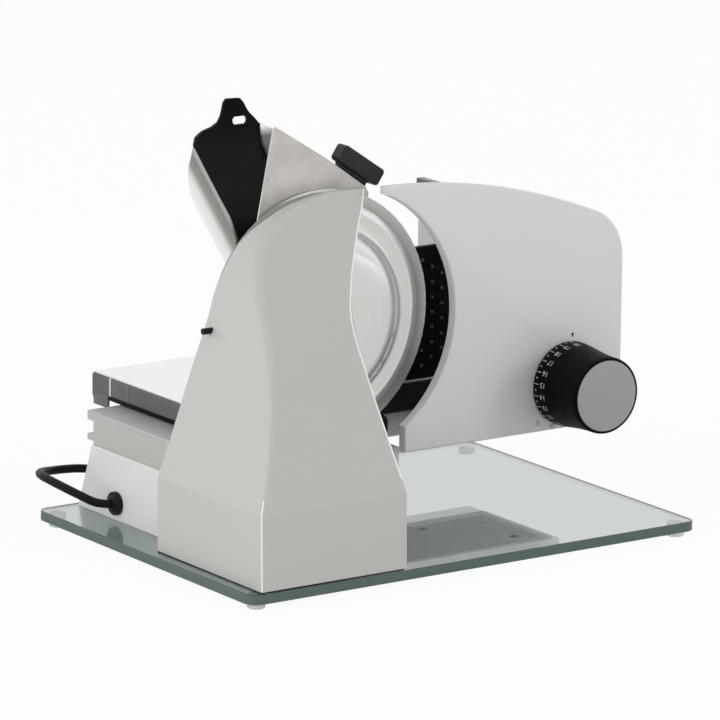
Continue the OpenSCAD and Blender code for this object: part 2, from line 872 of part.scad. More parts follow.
module blade_spindle() {
    color("silver") machine() {
        rod_y(blade_x, blade_h, journal_d, gear_plate_y[0] - 1, blade_gear_y[0]);
        rod_y(blade_x, blade_h, spindle_d, blade_gear_y[0] - 0.6, blade_front - dish_depth);
        rod_y(blade_x, blade_h, 34, casing_front + glide, hub_back);
    }
}

module blade_gear() {
    color("ivory") machine()
        gear(blade_x, blade_h, blade_teeth, idler_angle, spindle_d + 2 * tiny,
            blade_gear_y[0], blade_gear_y[1]);
}

module blade_screw() {
    color("silver")
        machine() difference() {
            rod_y(blade_x, blade_h, 16, blade_front - dish_depth, blade_front - dish_depth + 4);
            block(blade_x - 9, blade_x + 9, blade_front - dish_depth + 2.5, blade_front,
                blade_h - 1, blade_h + 1);
        }
}

module idler_gear() {
    bore = idler_pin_d + 2 * fit;
    small_first = idler_angle + 180 + 180 / idler_small_teeth;
    color("ivory") machine() {
        gear(idler_x, idler_h, idler_small_teeth, small_first, bore, motor_gear_y[1], blade_gear_y[1]);
        gear(idler_x, idler_h, idler_big_teeth, motor_angle, bore, motor_gear_y[0], motor_gear_y[1]);
    }
}

module rotor_core() {
    color("slategray")
        machine() difference() {
            rod_y(motor_x, motor_h, rotor_d, motor_y0 + motor_cap_t + 4, motor_y1 - motor_cap_t - 4);
            rod_y(motor_x, motor_h, motor_shaft_d + 2 * tiny, motor_y0, motor_y1);
        }
}

fan_d = 36;
fan_y = [motor_y0 - 8, motor_y0 - 2];

module motor_shaft() {
    color("silver") machine()
        rod_y(motor_x, motor_h, motor_shaft_d, fan_y[0], motor_gear_y[1] + 0.5);
}

module motor_pinion() {
    color("silver") machine()
        gear(motor_x, motor_h, pinion_teeth, motor_angle + 180 + 180 / pinion_teeth,
            motor_shaft_d + 2 * tiny, motor_gear_y[0], motor_gear_y[1]);
}

module motor_fan() {
    blades = 8;
    color("dimgray")
        machine() translate([motor_x, 0, motor_h]) slab_y(fan_y[0], fan_y[1])
            difference() {
                union() {
                    circle(d = 14);
                    for (i = [0 : blades - 1])
                        rotate(360 * i / blades) translate([0, -0.8]) square([fan_d / 2, 1.6]);
                }
                circle(d = motor_shaft_d + 2 * tiny);
            }
}

// Stop plate

stop_top_r = 438;
stop_corner_r = 34;
stop_crown = [162, 216.2];

// Outline of the plate, drawn in by an inset all round
module stop_outline(inset) {
    mid = [stop_crown[0], stop_crown[1] - stop_top_r];
    cx = plate_right - stop_corner_r;
    cy = mid[1] + sqrt(pow(stop_top_r - stop_corner_r, 2) - pow(cx - mid[0], 2));
    lean = atan2(cx - mid[0], cy - mid[1]);
    left_lean = asin((plate_left + inset - mid[0]) / (stop_top_r - inset));
    crown = [for (s = [0 : 16])
        let (a = lean + (left_lean - lean) * s / 16)
            mid + (stop_top_r - inset) * [sin(a), cos(a)]];
    round = [for (s = [0 : 15])
        let (a = 90 + (lean - 90) * s / 16)
            [cx, cy] + (stop_corner_r - inset) * [sin(a), cos(a)]];
    difference() {
        polygon(concat([[plate_foot_x + inset, stop_bottom_h + inset],
            [plate_right - inset, stop_bottom_h + inset]], round, crown,
            [[plate_left + inset, blade_h], [plate_foot_x + inset, blade_h]]));
        translate([blade_x, blade_h]) circle(r = blade_r + blade_gap + inset);
    }
}

module stop_plate() {
    color("gainsboro")
        machine() difference() {
            slab_y(plate_face - stop_face_t, plate_face) stop_outline(0);
            rod_y(knob_x, knob_h, adjust_d + 1, plate_back, plate_face + 1);
        }
}

module stop_cover() {
    skin_t = 1.6;
    color("gainsboro")
        machine() difference() {
            slab_y(plate_back, plate_face - stop_face_t) stop_outline(0);
            slab_y(plate_back + skin_t, plate_face) stop_outline(skin_t);
            rod_y(knob_x, knob_h, adjust_d + 1, plate_back - 1, plate_face);
        }
}

module stop_rivets() {
    color("silver") machine()
        for (p = [[knob_x - 22.8, stop_bottom_h + 5.5], [knob_x - 11.5, stop_bottom_h + 2.3]])
            rod_y(p[0], p[1], 3.2, plate_back - 0.8, plate_back);
}

module guide_rods() {
    color("silver") machine()
        for (x = rod_x_at)
            rod_y(x, rod_h, guide_rod_d, plate_face, rail_y + rod_bush_len + 1);
}

// Dial knob, turning on the screw spindle and carried by the stop plate

knob_base = plate_back - 0.4;
skirt_len = 12;
cap_t = 1.2;

module dial_knob() {
    r = knob_skirt_d / 2;
    e = knob_end_d / 2;
    color([0.08, 0.08, 0.08])
        machine() translate([knob_x, knob_base, knob_h]) rotate([90, 0, 0])
            difference() {
                rotate_extrude()
                    polygon([[0, 0], [r - 0.4, 0], [r, 0.4], [r - 0.3, skirt_len / 2], [r - 0.9, skirt_len],
                        [e + 1.3, knob_len * 0.62], [e + 0.8, knob_len * 0.8], [e + 0.8, knob_len - 3],
                        [e + 0.5, knob_len - 0.8], [e - 0.5, knob_len], [0, knob_len]]);
                translate([0, 0, -1]) cylinder(d = adjust_d + 0.4, h = 36);
                translate([0, 0, knob_len - cap_t]) cylinder(d = knob_cap_d + 2 * tiny, h = cap_t + 1);
            }
}

module knob_cap() {
    color("silver") machine()
        rod_y(knob_x, knob_h, knob_cap_d, knob_base - knob_len, knob_base - knob_len + cap_t);
}

// Carriage

carriage_x1 = carriage_x + carriage_len;
carriage_y1 = carriage_y + carriage_d;
frame_top = floor_top - floor_t;
deck_h = frame_top - 7;
skirt_h = frame_top - 13;
side_skirt_h = frame_top - 18.5;
rim = 3;

// A deck with a skirt all round, deeper on the two long sides
module carriage_frame() {
    color([0.12, 0.12, 0.13])
        machine() difference() {
            union() {
                block(carriage_x, carriage_x1, carriage_y, carriage_y1, skirt_h, frame_top);
                for (y = [carriage_y, carriage_y1 - rim])
                    slab_y(y, y + rim) translate([carriage_x, side_skirt_h])
                        round_rect(carriage_len, frame_top - side_skirt_h, 5);
            }
            block(carriage_x + rim, carriage_x1 - rim, carriage_y + rim, carriage_y1 - rim,
                side_skirt_h - 1, deck_h);
        }
}

module carriage_floor() {
    color("silver") machine()
        block(carriage_x + 1, carriage_x1 - 1, carriage_y + 1, carriage_y1 - 1, frame_top, floor_top);
}

// Glides on top of the rail and a tongue in its side channel
module carriage_runner() {
    x0 = carriage_x + 12;
    x1 = carriage_x1 - 12;
    tongue = rail_bottom + (slot_h[0] + slot_h[1]) / 2;
    color("dimgray") machine() {
        for (y = [rail_y + 12, rail_y + 70])
            block(x0, x1, y, y + 12, rail_top + glide, deck_h);
        block(x0, x1, hook_back + 1, hook_back + 5, tongue - 2.5, deck_h);
        block(x0, x1, rail_back + 1, hook_back + 2, tongue - 2.5, tongue + 2.5);
    }
}

guard_x = carriage_x1 - 14;
guard_y = [carriage_y + 8, carriage_y + 82];
guard_t = 2;

module thumb_guard() {
    color("silver") machine() {
        block(guard_x, guard_x + guard_t, guard_y[0], guard_y[1], floor_top, floor_top + guard_h - 6);
        block(guard_x + guard_t, guard_x + 12, guard_y[0], guard_y[1], floor_top, floor_top + guard_t);
    }
}

module guard_edge() {
    color([0.12, 0.12, 0.13])
        machine() difference() {
            block(guard_x - 2, guard_x + guard_t + 2, guard_y[0], guard_y[1],
                floor_top + guard_h - 12, floor_top + guard_h);
            block(guard_x - tiny, guard_x + guard_t + tiny, guard_y[0] - 1, guard_y[1] + 1,
                floor_top + guard_h - 13, floor_top + guard_h - 6);
        }
}

// Remnant holder

press_x = 88;
press_y = carriage_y + 0.6 + stud_len;
press_bottom = floor_top + glide;
hood_x = 85;
hood_t = 3;
stud_pitch = [7.6, 4.9];
stud_w = 4.2;

module pusher_plate() {
    cols = floor((press_w - 10) / stud_pitch[0]);
    rows = floor((press_h - 8) / stud_pitch[1]);
    color([0.07, 0.07, 0.07]) machine() {
        block(press_x, press_x + press_w, press_y, press_y + press_t, press_bottom, press_bottom + press_h);
        block(press_x, press_x + press_w, press_y + press_t, press_y + 40, press_bottom, press_bottom + 3);
        for (i = [0 : cols - 1])
            for (j = [0 : rows - 1])
                if ((i + j) % 2 == 0)
                    translate([press_x + 9 + i * stud_pitch[0], press_y, press_bottom + 8 + j * stud_pitch[1]])
                        rotate([90, 45, 0]) cylinder(d1 = stud_w, d2 = 1, h = stud_len, $fn = 4);
    }
}

// Side line of the hood in depth and height, from the back of the plate up to the tab
hood_line = [[press_y + press_t, 128], [press_y + press_t, 166], [145, 184], [154, 196.5], [168, 208.5],
    [182, 221], [195.5, 233.5], [201, 241], [203, 250], [203, 262]];

function hood_normal(i) =
    let (n = len(hood_line) - 1,
        t = unit(hood_line[min(i + 1, n)] - hood_line[max(i - 1, 0)]))
        i == 0 ? [1, 0] : [t[1], -t[0]];

function hood_side(far) =
    [for (i = [0 : len(hood_line) - 1]) hood_line[i] + far * hood_normal(i)];

module hood_band(near, far) {
    back = hood_side(far);
    n = len(back) - 1;
    polygon(concat(hood_side(near), [for (i = [0 : n]) back[n - i]]));
}

// Front outline of the hood: a wide body, sloping shoulders and a narrow tab
module hood_outline(grow) {
    x0 = hood_x - grow;
    x1 = hood_x + hood_w + grow;
    tab = hood_x + hood_w / 2;
    polygon([[x0, 100], [x1, 100], [x1, 214], [x1 - 3, 225], [tab + 26, 233], [tab + 20, 241], [tab + 16, 246],
        [tab + 10.7, 251.8], [tab + 7.5, 257.3], [tab + 5, 260], [tab - 5, 260.4], [tab - 7, 258],
        [tab - 8, 253.5], [tab - 9.2, 249.5], [tab - 12, 246], [tab - 16.5, 243.8], [tab - 23.5, 242],
        [x0 + 4, 238.5], [x0 + 1, 234.5], [x0, 231]]);
}

module pusher_hood() {
    slot_at = [hood_x + hood_w / 2 + 4.3, 245.9];
    color([0.07, 0.07, 0.07])
        machine() difference() {
            intersection() {
                slab_x(hood_x - 1, hood_x + hood_w + 1) hood_band(0, hood_t);
                slab_y(120, 260) hood_outline(0);
            }
            slab_y(120, 260) translate(slot_at - [5.5, 2.5]) round_rect(11, 5, 2.4);
        }
}

// Side of the shell behind the hood: it runs along the hood and its top end is rounded
shell_wall = 2;
shell_back = [[197, 228], [200, 221], [200.5, 213], [197.5, 203.5], [191, 195.5], [171, 178.5], [156, 166],
    [146, 158]];

module shell_side(near) {
    polygon(concat([for (i = [2 : 6]) hood_line[i] + near * hood_normal(i)], shell_back));
}

module pusher_shell() {
    color("silver")
        machine() difference() {
            slab_x(hood_x - shell_wall, hood_x + hood_w + shell_wall) shell_side(0.2);
            slab_x(hood_x - tiny, hood_x + hood_w + tiny) {
                hood_band(-1, hood_t + tiny);
                translate([-1.3, 1.5]) shell_side(0);
                translate([-8, 9]) shell_side(0);
            }
        }
}

glass_base();
feet();
base_bracket();
bracket_screws();
base_gasket();
casing_floor();
motor_casing();
side_peg();
gear_plate();
gear_pillars();
spindle_bushes();
idler_pin();
motor_stator();
motor_front_cap();
motor_rear_cap();
run_capacitor();
terminal_block();
switch_block();
start_button();
lock_button();
rail_support();
guide_rail();
rail_screws();
rod_bushes();
adjuster_bracket();
adjuster_spindle();
bracket_bolts();
cover_posts();
blade_cover();
cover_screws();
cover_grip();
cord_gland();
cord_lead();
cord_hank();
cord_tie();
plug();
plug_pins();
blade();
blade_spindle();
blade_gear();
blade_screw();
idler_gear();
rotor_core();
motor_shaft();
motor_pinion();
motor_fan();
stop_plate();
stop_cover();
stop_rivets();
guide_rods();
dial_knob();
knob_cap();
carriage_frame();
carriage_floor();
carriage_runner();
thumb_guard();
guard_edge();
pusher_plate();
pusher_hood();
pusher_shell();
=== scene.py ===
"""Looks of an electric food slicer on a glass base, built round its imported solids."""

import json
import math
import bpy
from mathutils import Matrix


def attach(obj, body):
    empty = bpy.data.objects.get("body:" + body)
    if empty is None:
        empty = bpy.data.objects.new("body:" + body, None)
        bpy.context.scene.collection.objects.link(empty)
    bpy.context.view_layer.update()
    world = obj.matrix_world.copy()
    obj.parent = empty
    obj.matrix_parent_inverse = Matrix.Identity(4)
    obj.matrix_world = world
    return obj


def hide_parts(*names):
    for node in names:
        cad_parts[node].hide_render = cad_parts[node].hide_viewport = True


bl_info = {
    "name": "Food Slicer Looks",
    "version": (1, 0, 0),
    "blender": (4, 5, 0),
    "location": "View3D > Sidebar > Slicer",
    "description": "Dresses the solids of an electric food slicer with finished pieces and materials",
    "category": "Add Mesh",
}

import bmesh
import bpy
from bpy.props import FloatProperty, FloatVectorProperty, IntProperty, PointerProperty
from mathutils import Vector

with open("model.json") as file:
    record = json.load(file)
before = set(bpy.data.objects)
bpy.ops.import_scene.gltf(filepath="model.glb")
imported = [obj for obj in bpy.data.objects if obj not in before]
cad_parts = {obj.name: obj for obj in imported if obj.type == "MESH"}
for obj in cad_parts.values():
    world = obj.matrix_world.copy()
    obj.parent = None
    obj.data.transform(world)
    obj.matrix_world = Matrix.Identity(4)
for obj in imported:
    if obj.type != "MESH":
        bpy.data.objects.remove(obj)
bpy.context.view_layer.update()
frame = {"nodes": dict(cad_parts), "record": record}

# Places in millimetres: x and y from the near corner of the glass, heights above the glass
OUTLINE_MID = (175.25, 133.0)
GLASS_TOP = 10.5
BLADE_AXIS = (133.0, 131.5)
BLADE_R = 82.5
CASING_FRONT = 118.0
CASING_WALL = 2.5
PLATE_BACK = 100.0
PLATE_FACE = 107.0
PLATE_SEAM = 104.0
KNOB_AXIS = (307.8, 73.0)
KNOB_BASE = 99.6
PRESS_FACE = 137.6
CARRIAGE_END = 53.0
GLAND = (22.5, 195.4, 11.5)
CORD_D = 5.5

# Modelling limits: points closer than this in metres are one, and an edge this sharp bounds a face
WELD = 1e-6
RIM_ANGLE = 0.7
ROUND_SEGMENTS = 5
BORE_SIDES = 48
BORE_LENGTH = 0.03


def mm(x, y, h):
    """A place on the machine in metres, in the part's frame."""
    return Vector(((x - OUTLINE_MID[0]) / 1000, (y - OUTLINE_MID[1]) / 1000, (h + GLASS_TOP) / 1000))


BLADE_CENTRE = mm(BLADE_AXIS[0], 0, BLADE_AXIS[1])


# Modelling tools


def activate(piece):
    """Makes one object the only selected and active one."""
    bpy.ops.object.select_all(action="DESELECT")
    piece.hide_set(False)
    piece.select_set(True)
    bpy.context.view_layer.objects.active = piece


def added(name):
    """The object that was just added, under its own name."""
    piece = bpy.context.object
    piece.name = name
    piece.data.name = name
    return piece


def edit(piece, mode="VERT", action="DESELECT"):
    """Opens a piece in edit mode with nothing selected, or everything."""
    activate(piece)
    bpy.ops.object.mode_set(mode="EDIT")
    bpy.ops.mesh.select_mode(type=mode)
    bpy.ops.mesh.select_all(action=action)


def close(outwards=False):
    """Leaves edit mode, and turns all faces outwards before that where asked to."""
    if outwards:
        bpy.ops.mesh.select_all(action="SELECT")
        bpy.ops.mesh.normals_make_consistent(inside=False)
    bpy.ops.object.mode_set(mode="OBJECT")


def pick(piece, kind, test):
    """Selects the vertices or edges that pass the test, in edit mode."""
    mesh = bmesh.from_edit_mesh(piece.data)
    mesh.verts.index_update()
    for item in mesh.verts if kind == "VERT" else mesh.edges:
        item.select_set(test(item))
    mesh.select_flush_mode()
    bmesh.update_edit_mesh(piece.data)


def place_chosen(piece, points):
    """Puts the selected vertices, in the order of their indices, at the given places."""
    mesh = bmesh.from_edit_mesh(piece.data)
    mesh.verts.index_update()
    chosen = [v for v in mesh.verts if v.select]
    for vertex, point in zip(chosen, points):
        vertex.co = point
    bmesh.update_edit_mesh(piece.data)


def modify(piece, kind, **settings):
    """Adds a modifier with these settings and applies it."""
    activate(piece)
    bpy.ops.object.modifier_add(type=kind)
    modifier = piece.modifiers[-1]
    for key, value in settings.items():
        setattr(modifier, key, value)
    bpy.ops.object.modifier_apply(modifier=modifier.name)


def smooth(piece, degrees=32):
    """Smooth shading except over edges sharper than the angle."""
    activate(piece)
    bpy.ops.object.shade_smooth_by_angle(angle=math.radians(degrees))


def finish_piece(piece, body, slot, look, *nodes):
    """Gives a piece its finish, its body and the solids it stands for; the slot is not used."""
    piece.data.materials.clear()
    piece.data.materials.append(finishes()[look])
    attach(piece, body)
    if nodes:
        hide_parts(*nodes)


def welded_copy(node, name):
    """A copy of a solid as one welded surface whose flat faces are whole."""
    piece = bpy.data.objects.new(name, frame["nodes"][node].data.copy())
    bpy.context.collection.objects.link(piece)
    edit(piece, action="SELECT")
    bpy.ops.mesh.remove_doubles(threshold=WELD)
    bpy.ops.mesh.dissolve_limited(angle_limit=math.radians(0.4))
    close()
    return piece


def softened(node, name, radius, segments, crisp):
    """A copy of a solid with its edges rounded and its flat faces kept flat."""
    piece = welded_copy(node, name)
    modify(piece, "BEVEL", width=radius / 1000, segments=segments, limit_method="ANGLE",
           angle_limit=math.radians(40), use_clamp_overlap=False)
    smooth(piece, crisp)
    modify(piece, "WEIGHTED_NORMAL", keep_sharp=True, weight=90)
    return piece


def dressed(node, name, radius, body, slot, look=None, segments=3, crisp=32):
    """A softened copy of a solid in its finish, in the place of that solid."""
    piece = softened(node, name, radius, segments, crisp)
    finish_piece(piece, body, slot, look or slot, node)
    return piece


def box(name, low, high, radius):
    """A block between two corners given on the machine, with rounded edges."""
    bpy.ops.mesh.primitive_cube_add(size=1)
    piece = added(name)
    start, end = mm(*low), mm(*high)
    edit(piece, action="SELECT")
    bpy.ops.transform.resize(value=end - start, center_override=(0, 0, 0))
    bpy.ops.transform.translate(value=(start + end) / 2)
    bpy.ops.mesh.bevel(offset=radius / 1000, segments=ROUND_SEGMENTS, profile=0.5)
    close()
    smooth(piece)
    return piece


def bore(piece, place, radius, axis):
    """Cuts a round hole through a piece, along X or along Y."""
    turn = (0, math.pi / 2, 0) if axis == "X" else (math.pi / 2, 0, 0)
    bpy.ops.mesh.primitive_cylinder_add(vertices=BORE_SIDES, radius=radius / 1000, depth=BORE_LENGTH,
                                        location=place, rotation=turn)
    cutter = bpy.context.object
    modify(piece, "BOOLEAN", operation="DIFFERENCE", object=cutter, solver="EXACT")
    bpy.data.objects.remove(cutter)


def outer_loop(node, y):
    """Points in order round the outside of a solid's flat face at one depth."""
    mesh = bmesh.new()
    mesh.from_mesh(frame["nodes"][node].data)
    bmesh.ops.remove_doubles(mesh, verts=mesh.verts, dist=WELD)
    rim = [e for e in mesh.edges
           if all(abs(v.co.y - y) < WELD for v in e.verts) and e.calc_face_angle(0) > RIM_ANGLE]
    loops = []
    while rim:
        loop = list(rim.pop(0).verts)
        while loop[-1] is not loop[0]:
            step = [e for e in loop[-1].link_edges if e in rim]
            if not step:
                break
            rim.remove(step[0])
            loop.append(step[0].other_vert(loop[-1]))
        loops.append([v.co.copy() for v in loop[:-1]])
    mesh.free()
    return max(loops, key=lambda loop: sum((a - b).length for a, b in zip(loop, loop[1:] + loop[:1])))


def chain(name, points):
    """A line of vertices through the points, drawn by extruding one vertex."""
    bpy.ops.mesh.primitive_plane_add(size=0.001)
    piece = added(name)
    edit(piece, action="SELECT")
    bpy.ops.mesh.merge(type="CENTER")
    place_chosen(piece, points[:1])
    for before, after in zip(points, points[1:]):
        bpy.ops.mesh.extrude_vertices_move(TRANSFORM_OT_translate={"value": after - before})
    close()
    return piece


def turned(name, axis, profile, steps):
    """A body turned round an axis along Y: the profile has a radius and a depth at each point."""
    piece = chain(name, [mm(axis[0] + radius, depth, axis[1]) for radius, depth in profile])
    edit(piece, action="SELECT")
    bpy.ops.mesh.spin(steps=steps, angle=math.tau, center=mm(axis[0], profile[0][1], axis[1]), axis=(0, 1, 0))
    bpy.ops.mesh.select_all(action="SELECT")
    bpy.ops.mesh.remove_doubles(threshold=WELD)
    close(outwards=True)
    return piece


def lofted(name, rings):
    """A skin drawn from ring to ring by extruding the last ring, with both ends closed."""
    size = len(rings[0])
    bpy.ops.mesh.primitive_circle_add(vertices=size, radius=0.01)
    piece = added(name)
    edit(piece, action="SELECT")
    place_chosen(piece, rings[0])
    for ring in rings[1:]:
        bpy.ops.mesh.extrude_edges_move()
        place_chosen(piece, ring)
    bpy.ops.mesh.edge_face_add()
    pick(piece, "VERT", lambda v: v.index < size)
    bpy.ops.mesh.edge_face_add()
    close(outwards=True)
    return piece


# Materials


class Wiring:
    """A tree of shader nodes under way."""

    def __init__(self, tree):
        self.tree = tree

    def put(self, socket, value):
        """Links a socket to an output, or gives it a value."""
        if isinstance(value, bpy.types.NodeSocket):
            self.tree.links.new(value, socket)
        else:
            socket.default_value = value

    def node(self, kind, *values, **settings):
        """A new node: settings go to the property or socket of that name, values to the first sockets."""
        made = self.tree.nodes.new(kind)
        for key, value in settings.items():
            title = key.replace("_", " ")
            if title in made.inputs:
                self.put(made.inputs[title], value)
            else:
                setattr(made, key, value)
        for socket, value in zip(made.inputs, values):
            self.put(socket, value)
        return made

    def math(self, operation, *values):
        return self.node("ShaderNodeMath", *values, operation=operation).outputs[0]

    def ranged(self, value, low, high, to_low, to_high):
        """A value moved from one range to another."""
        return self.node("ShaderNodeMapRange", Value=value, From_Min=low, From_Max=high,
                         To_Min=to_low, To_Max=to_high).outputs["Result"]

    def mix(self, factor, a, b):
        return self.node("ShaderNodeMix", Factor=factor, A=a, B=b).outputs["Result"]

    def along(self, vector, axis):
        return self.node("ShaderNodeSeparateXYZ", vector).outputs[axis]

    def geometry(self, name):
        return self.node("ShaderNodeNewGeometry").outputs[name]


class Finish(Wiring):
    """A material under way: its shader and helpers that wire patterns into it."""

    # The part of a noise's range that most of it lies in
    NOISE_LOW = 0.3
    NOISE_HIGH = 0.7

    def __init__(self, name, color, metallic=0.0, roughness=0.5):
        self.material = bpy.data.materials.new(name)
        self.material.use_nodes = True
        super().__init__(self.material.node_tree)
        self.shader = self.tree.nodes["Principled BSDF"]
        self.color = tuple(color[:3])
        self.roughness = roughness
        self.set("Base Color", (*self.color, 1.0))
        self.set("Metallic", metallic)
        self.set("Roughness", roughness)

    def set(self, socket, value):
        self.put(self.shader.inputs[socket], value)
        return self

    def coordinates(self, stretch=(1, 1, 1), centre=(0, 0, 0)):
        """The object's own coordinates, stretched about a place."""
        place = self.node("ShaderNodeTexCoord").outputs["Object"]
        shift = [-c * s for c, s in zip(centre, stretch)]
        return self.node("ShaderNodeMapping", Vector=place, Location=shift, Scale=stretch).outputs["Vector"]

    def noise(self, scale, detail=3.0, stretch=(1, 1, 1)):
        place = self.coordinates(stretch)
        return self.node("ShaderNodeTexNoise", Vector=place, Scale=scale, Detail=detail).outputs["Fac"]

    def distance(self, centre, unit=1000):
        """Distance from an axis along Y, in millimetres."""
        place = self.coordinates((unit, 0, unit), centre)
        return self.node("ShaderNodeVectorMath", place, operation="LENGTH").outputs["Value"]

    def turned_marks(self, centre, scale):
        """Fine rings round an axis along Y, as a turning or polishing tool leaves them."""
        return self.node("ShaderNodeTexNoise", noise_dimensions="1D", W=self.distance(centre, 1), Scale=scale,
                         Detail=4.0).outputs["Fac"]

    def depth(self, start, direction):
        """Distance in millimetres from a place along a direction."""
        place = self.coordinates((1000, 1000, 1000), start)
        return self.node("ShaderNodeVectorMath", place, direction, operation="DOT_PRODUCT").outputs["Value"]

    def spread(self, pattern, low, high):
        """A noise drawn out over a range of values."""
        return self.ranged(pattern, self.NOISE_LOW, self.NOISE_HIGH, low, high)

    def grade(self, value, stops, pattern, share):
        """Base colour by a value in millimetres: each stop has a value and a colour, mottled by a pattern."""
        low, high = stops[0][0], stops[-1][0]
        ramp = self.node("ShaderNodeValToRGB", Fac=self.ranged(value, low, high, 0.0, 1.0))
        marks = ramp.color_ramp.elements
        while len(marks) < len(stops):
            marks.new(1.0)
        for mark, (place, color) in zip(marks, stops):
            mark.position = (place - low) / (high - low)
            mark.color = (*color, 1.0)
        tint = self.node("ShaderNodeHueSaturation", Color=ramp.outputs["Color"],
                         Value=self.spread(pattern, 1 - share, 1 + share))
        return self.set("Base Color", tint.outputs["Color"])

    def vary_roughness(self, pattern, spread):
        low = max(self.roughness - spread, 0.02)
        return self.set("Roughness", self.spread(pattern, low, self.roughness + spread))

    def vary_color(self, pattern, share):
        less, more = [(*[min(c * k, 1.0) for c in self.color], 1.0) for k in (1 - share, 1 + share)]
        mix = self.node("ShaderNodeMix", data_type="RGBA", Factor=pattern, A=less, B=more)
        return self.set("Base Color", mix.outputs["Result"])

    def bump(self, pattern, strength, depth=0.0002):
        bump = self.node("ShaderNodeBump", Strength=strength, Distance=depth, Height=pattern)
        return self.set("Normal", bump.outputs["Normal"])

    def marked(self, pattern, spread, share, strength, depth):
        """One pattern in the roughness, the colour and the relief."""
        self.vary_roughness(pattern, spread)
        self.vary_color(pattern, share)
        return self.bump(pattern, strength, depth)


def satin_paint(name, color):
    """Off-white powder paint with a slight orange peel."""
    finish = Finish(name, color, 0.0, 0.36)
    finish.set("Coat Weight", 0.12).set("Coat Roughness", 0.25)
    finish.vary_roughness(finish.noise(60), 0.04)
    finish.vary_color(finish.noise(9, 2), 0.012)
    return finish.bump(finish.noise(520, 2), 0.05).material


def moulded_plastic(name, color, roughness=0.42, grain=1500, specular=0.5):
    """Moulded plastic with a fine eroded grain."""
    finish = Finish(name, color, 0.0, roughness).set("Specular IOR Level", specular)
    finish.vary_roughness(finish.noise(140), 0.07)
    finish.vary_color(finish.noise(35, 2), 0.12)
    return finish.bump(finish.noise(grain, 2), 0.12).material


def graded_plastic(name, start, direction, stops, roughness, specular):
    """Moulded plastic whose shade changes along a direction."""
    finish = Finish(name, stops[0][1], 0.0, roughness).set("Specular IOR Level", specular)
    finish.grade(finish.depth(mm(*start), direction), stops, finish.noise(35, 2), 0.1)
    finish.vary_roughness(finish.noise(140), 0.07)
    return finish.bump(finish.noise(1500, 2), 0.12).material


def rolled_metal(name, color, stretch, roughness=0.3, spread=0.08, strength=0.05, metallic=1.0):
    """Metal with streaks of brushing or rolling along one direction."""
    finish = Finish(name, color, metallic, roughness)
    return finish.marked(finish.noise(1.0, 5, stretch), spread, 0.06, strength, 0.00005).material


def grained_metal(name, color, roughness, grain=2600, metallic=1.0):
    """Metal with an even matt grain, cast, blasted or anodised."""
    finish = Finish(name, color, metallic, roughness)
    finish.vary_roughness(finish.noise(grain, 2), 0.05)
    finish.vary_color(finish.noise(18, 3), 0.02)
    return finish.bump(finish.noise(grain, 2), 0.06, 0.00005).material


def spun_metal(name, color, roughness):
    """Metal with fine rings round the blade's axis."""
    finish = Finish(name, color, 1.0, roughness)
    return finish.marked(finish.turned_marks(BLADE_CENTRE, 900), 0.05, 0.05, 0.04, 0.00004).material


def ringed_steel(name):
    """Polished blade with painted reflections in its base colour: a dark ground edge, a light ring, a warm
    flat, and painted highlights at the fold and over the dish.
    """
    finish = Finish(name, (0.8, 0.79, 0.77), 0.82, 0.16)
    rings = finish.turned_marks(BLADE_CENTRE, 900)
    # Base colour by radius: its bands are painted reflections and its white stops painted highlights
    finish.grade(finish.distance(BLADE_CENTRE), [
        (20, (0.96, 0.96, 0.93)), (50, (0.92, 0.92, 0.9)), (53, (1.0, 1.0, 1.0)),
        (55.5, (0.74, 0.74, 0.75)), (59.8, (0.78, 0.78, 0.79)), (60.6, (1.0, 1.0, 1.0)),
        (61.6, (0.92, 0.89, 0.86)), (69, (0.96, 0.93, 0.9)), (70.2, (1.0, 1.0, 1.0)),
        (72.6, (0.95, 0.94, 0.93)), (74.6, (0.74, 0.71, 0.68)), (79.5, (0.9, 0.87, 0.84)),
        (81.8, (0.92, 0.91, 0.9))], rings, 0.04)
    finish.vary_roughness(rings, 0.04)
    return finish.bump(rings, 0.03, 0.00004).material


def cover_steel(name):
    """Matt rolled sheet with faint clouds, with a painted dark reflection along the blade's edge that it
    mirrors.
    """
    finish = Finish(name, (0.62, 0.595, 0.575), 0.45, 0.36)
    # Painted reflection: darkest where the sheet mirrors the blade's edge, lighter just beyond it, fading to
    # the sheet's tone
    finish.grade(finish.distance(BLADE_CENTRE), [
        (76, (0.28, 0.265, 0.255)), (79, (0.4, 0.385, 0.37)), (81, (0.76, 0.73, 0.71)),
        (90, (0.68, 0.65, 0.625)), (110, (0.63, 0.595, 0.565))], finish.noise(75, 3), 0.08)
    finish.vary_roughness(finish.noise(1.0, 4, (300, 300, 30)), 0.05)
    return finish.bump(finish.noise(420, 2), 0.03, 0.00005).material


def bright_return(name):
    """Sheet behind the hood with a painted reflection: dark where it mirrors the dark hood next to it, white
    further back.
    """
    finish = Finish(name, (0.9, 0.9, 0.89), 0.55, 0.3)
    # Painted reflection along the depth from the hood's edge: dark next to it, white further back
    finish.grade(finish.depth(mm(0, 168, 208.5), -HOOD_OUT), [
        (-4, (0.42, 0.43, 0.41)), (1.2, (0.42, 0.43, 0.41)), (2.4, (0.25, 0.26, 0.24)),
        (9, (0.32, 0.33, 0.3)), (15, (0.85, 0.86, 0.83)), (24, (1.0, 1.0, 0.99))], finish.noise(25, 2), 0.02)
    return finish.vary_roughness(finish.noise(40, 2), 0.03).material


def edge_fold(name):
    """Fold at the hood's far edge with a painted reflection, dark low down and white at its top."""
    finish = Finish(name, (0.5, 0.5, 0.52), 0.3, 0.3)
    # Painted reflection graded up the fold: dark low down, white at the top
    finish.grade(finish.depth(mm(0, 190, 228), (0, 0.746, 0.665)), [
        (0, (0.1, 0.1, 0.12)), (9, (0.13, 0.13, 0.15)), (13, (0.5, 0.5, 0.53)), (16, (0.92, 0.92, 0.95))],
        finish.noise(200), 0.04)
    return finish.material


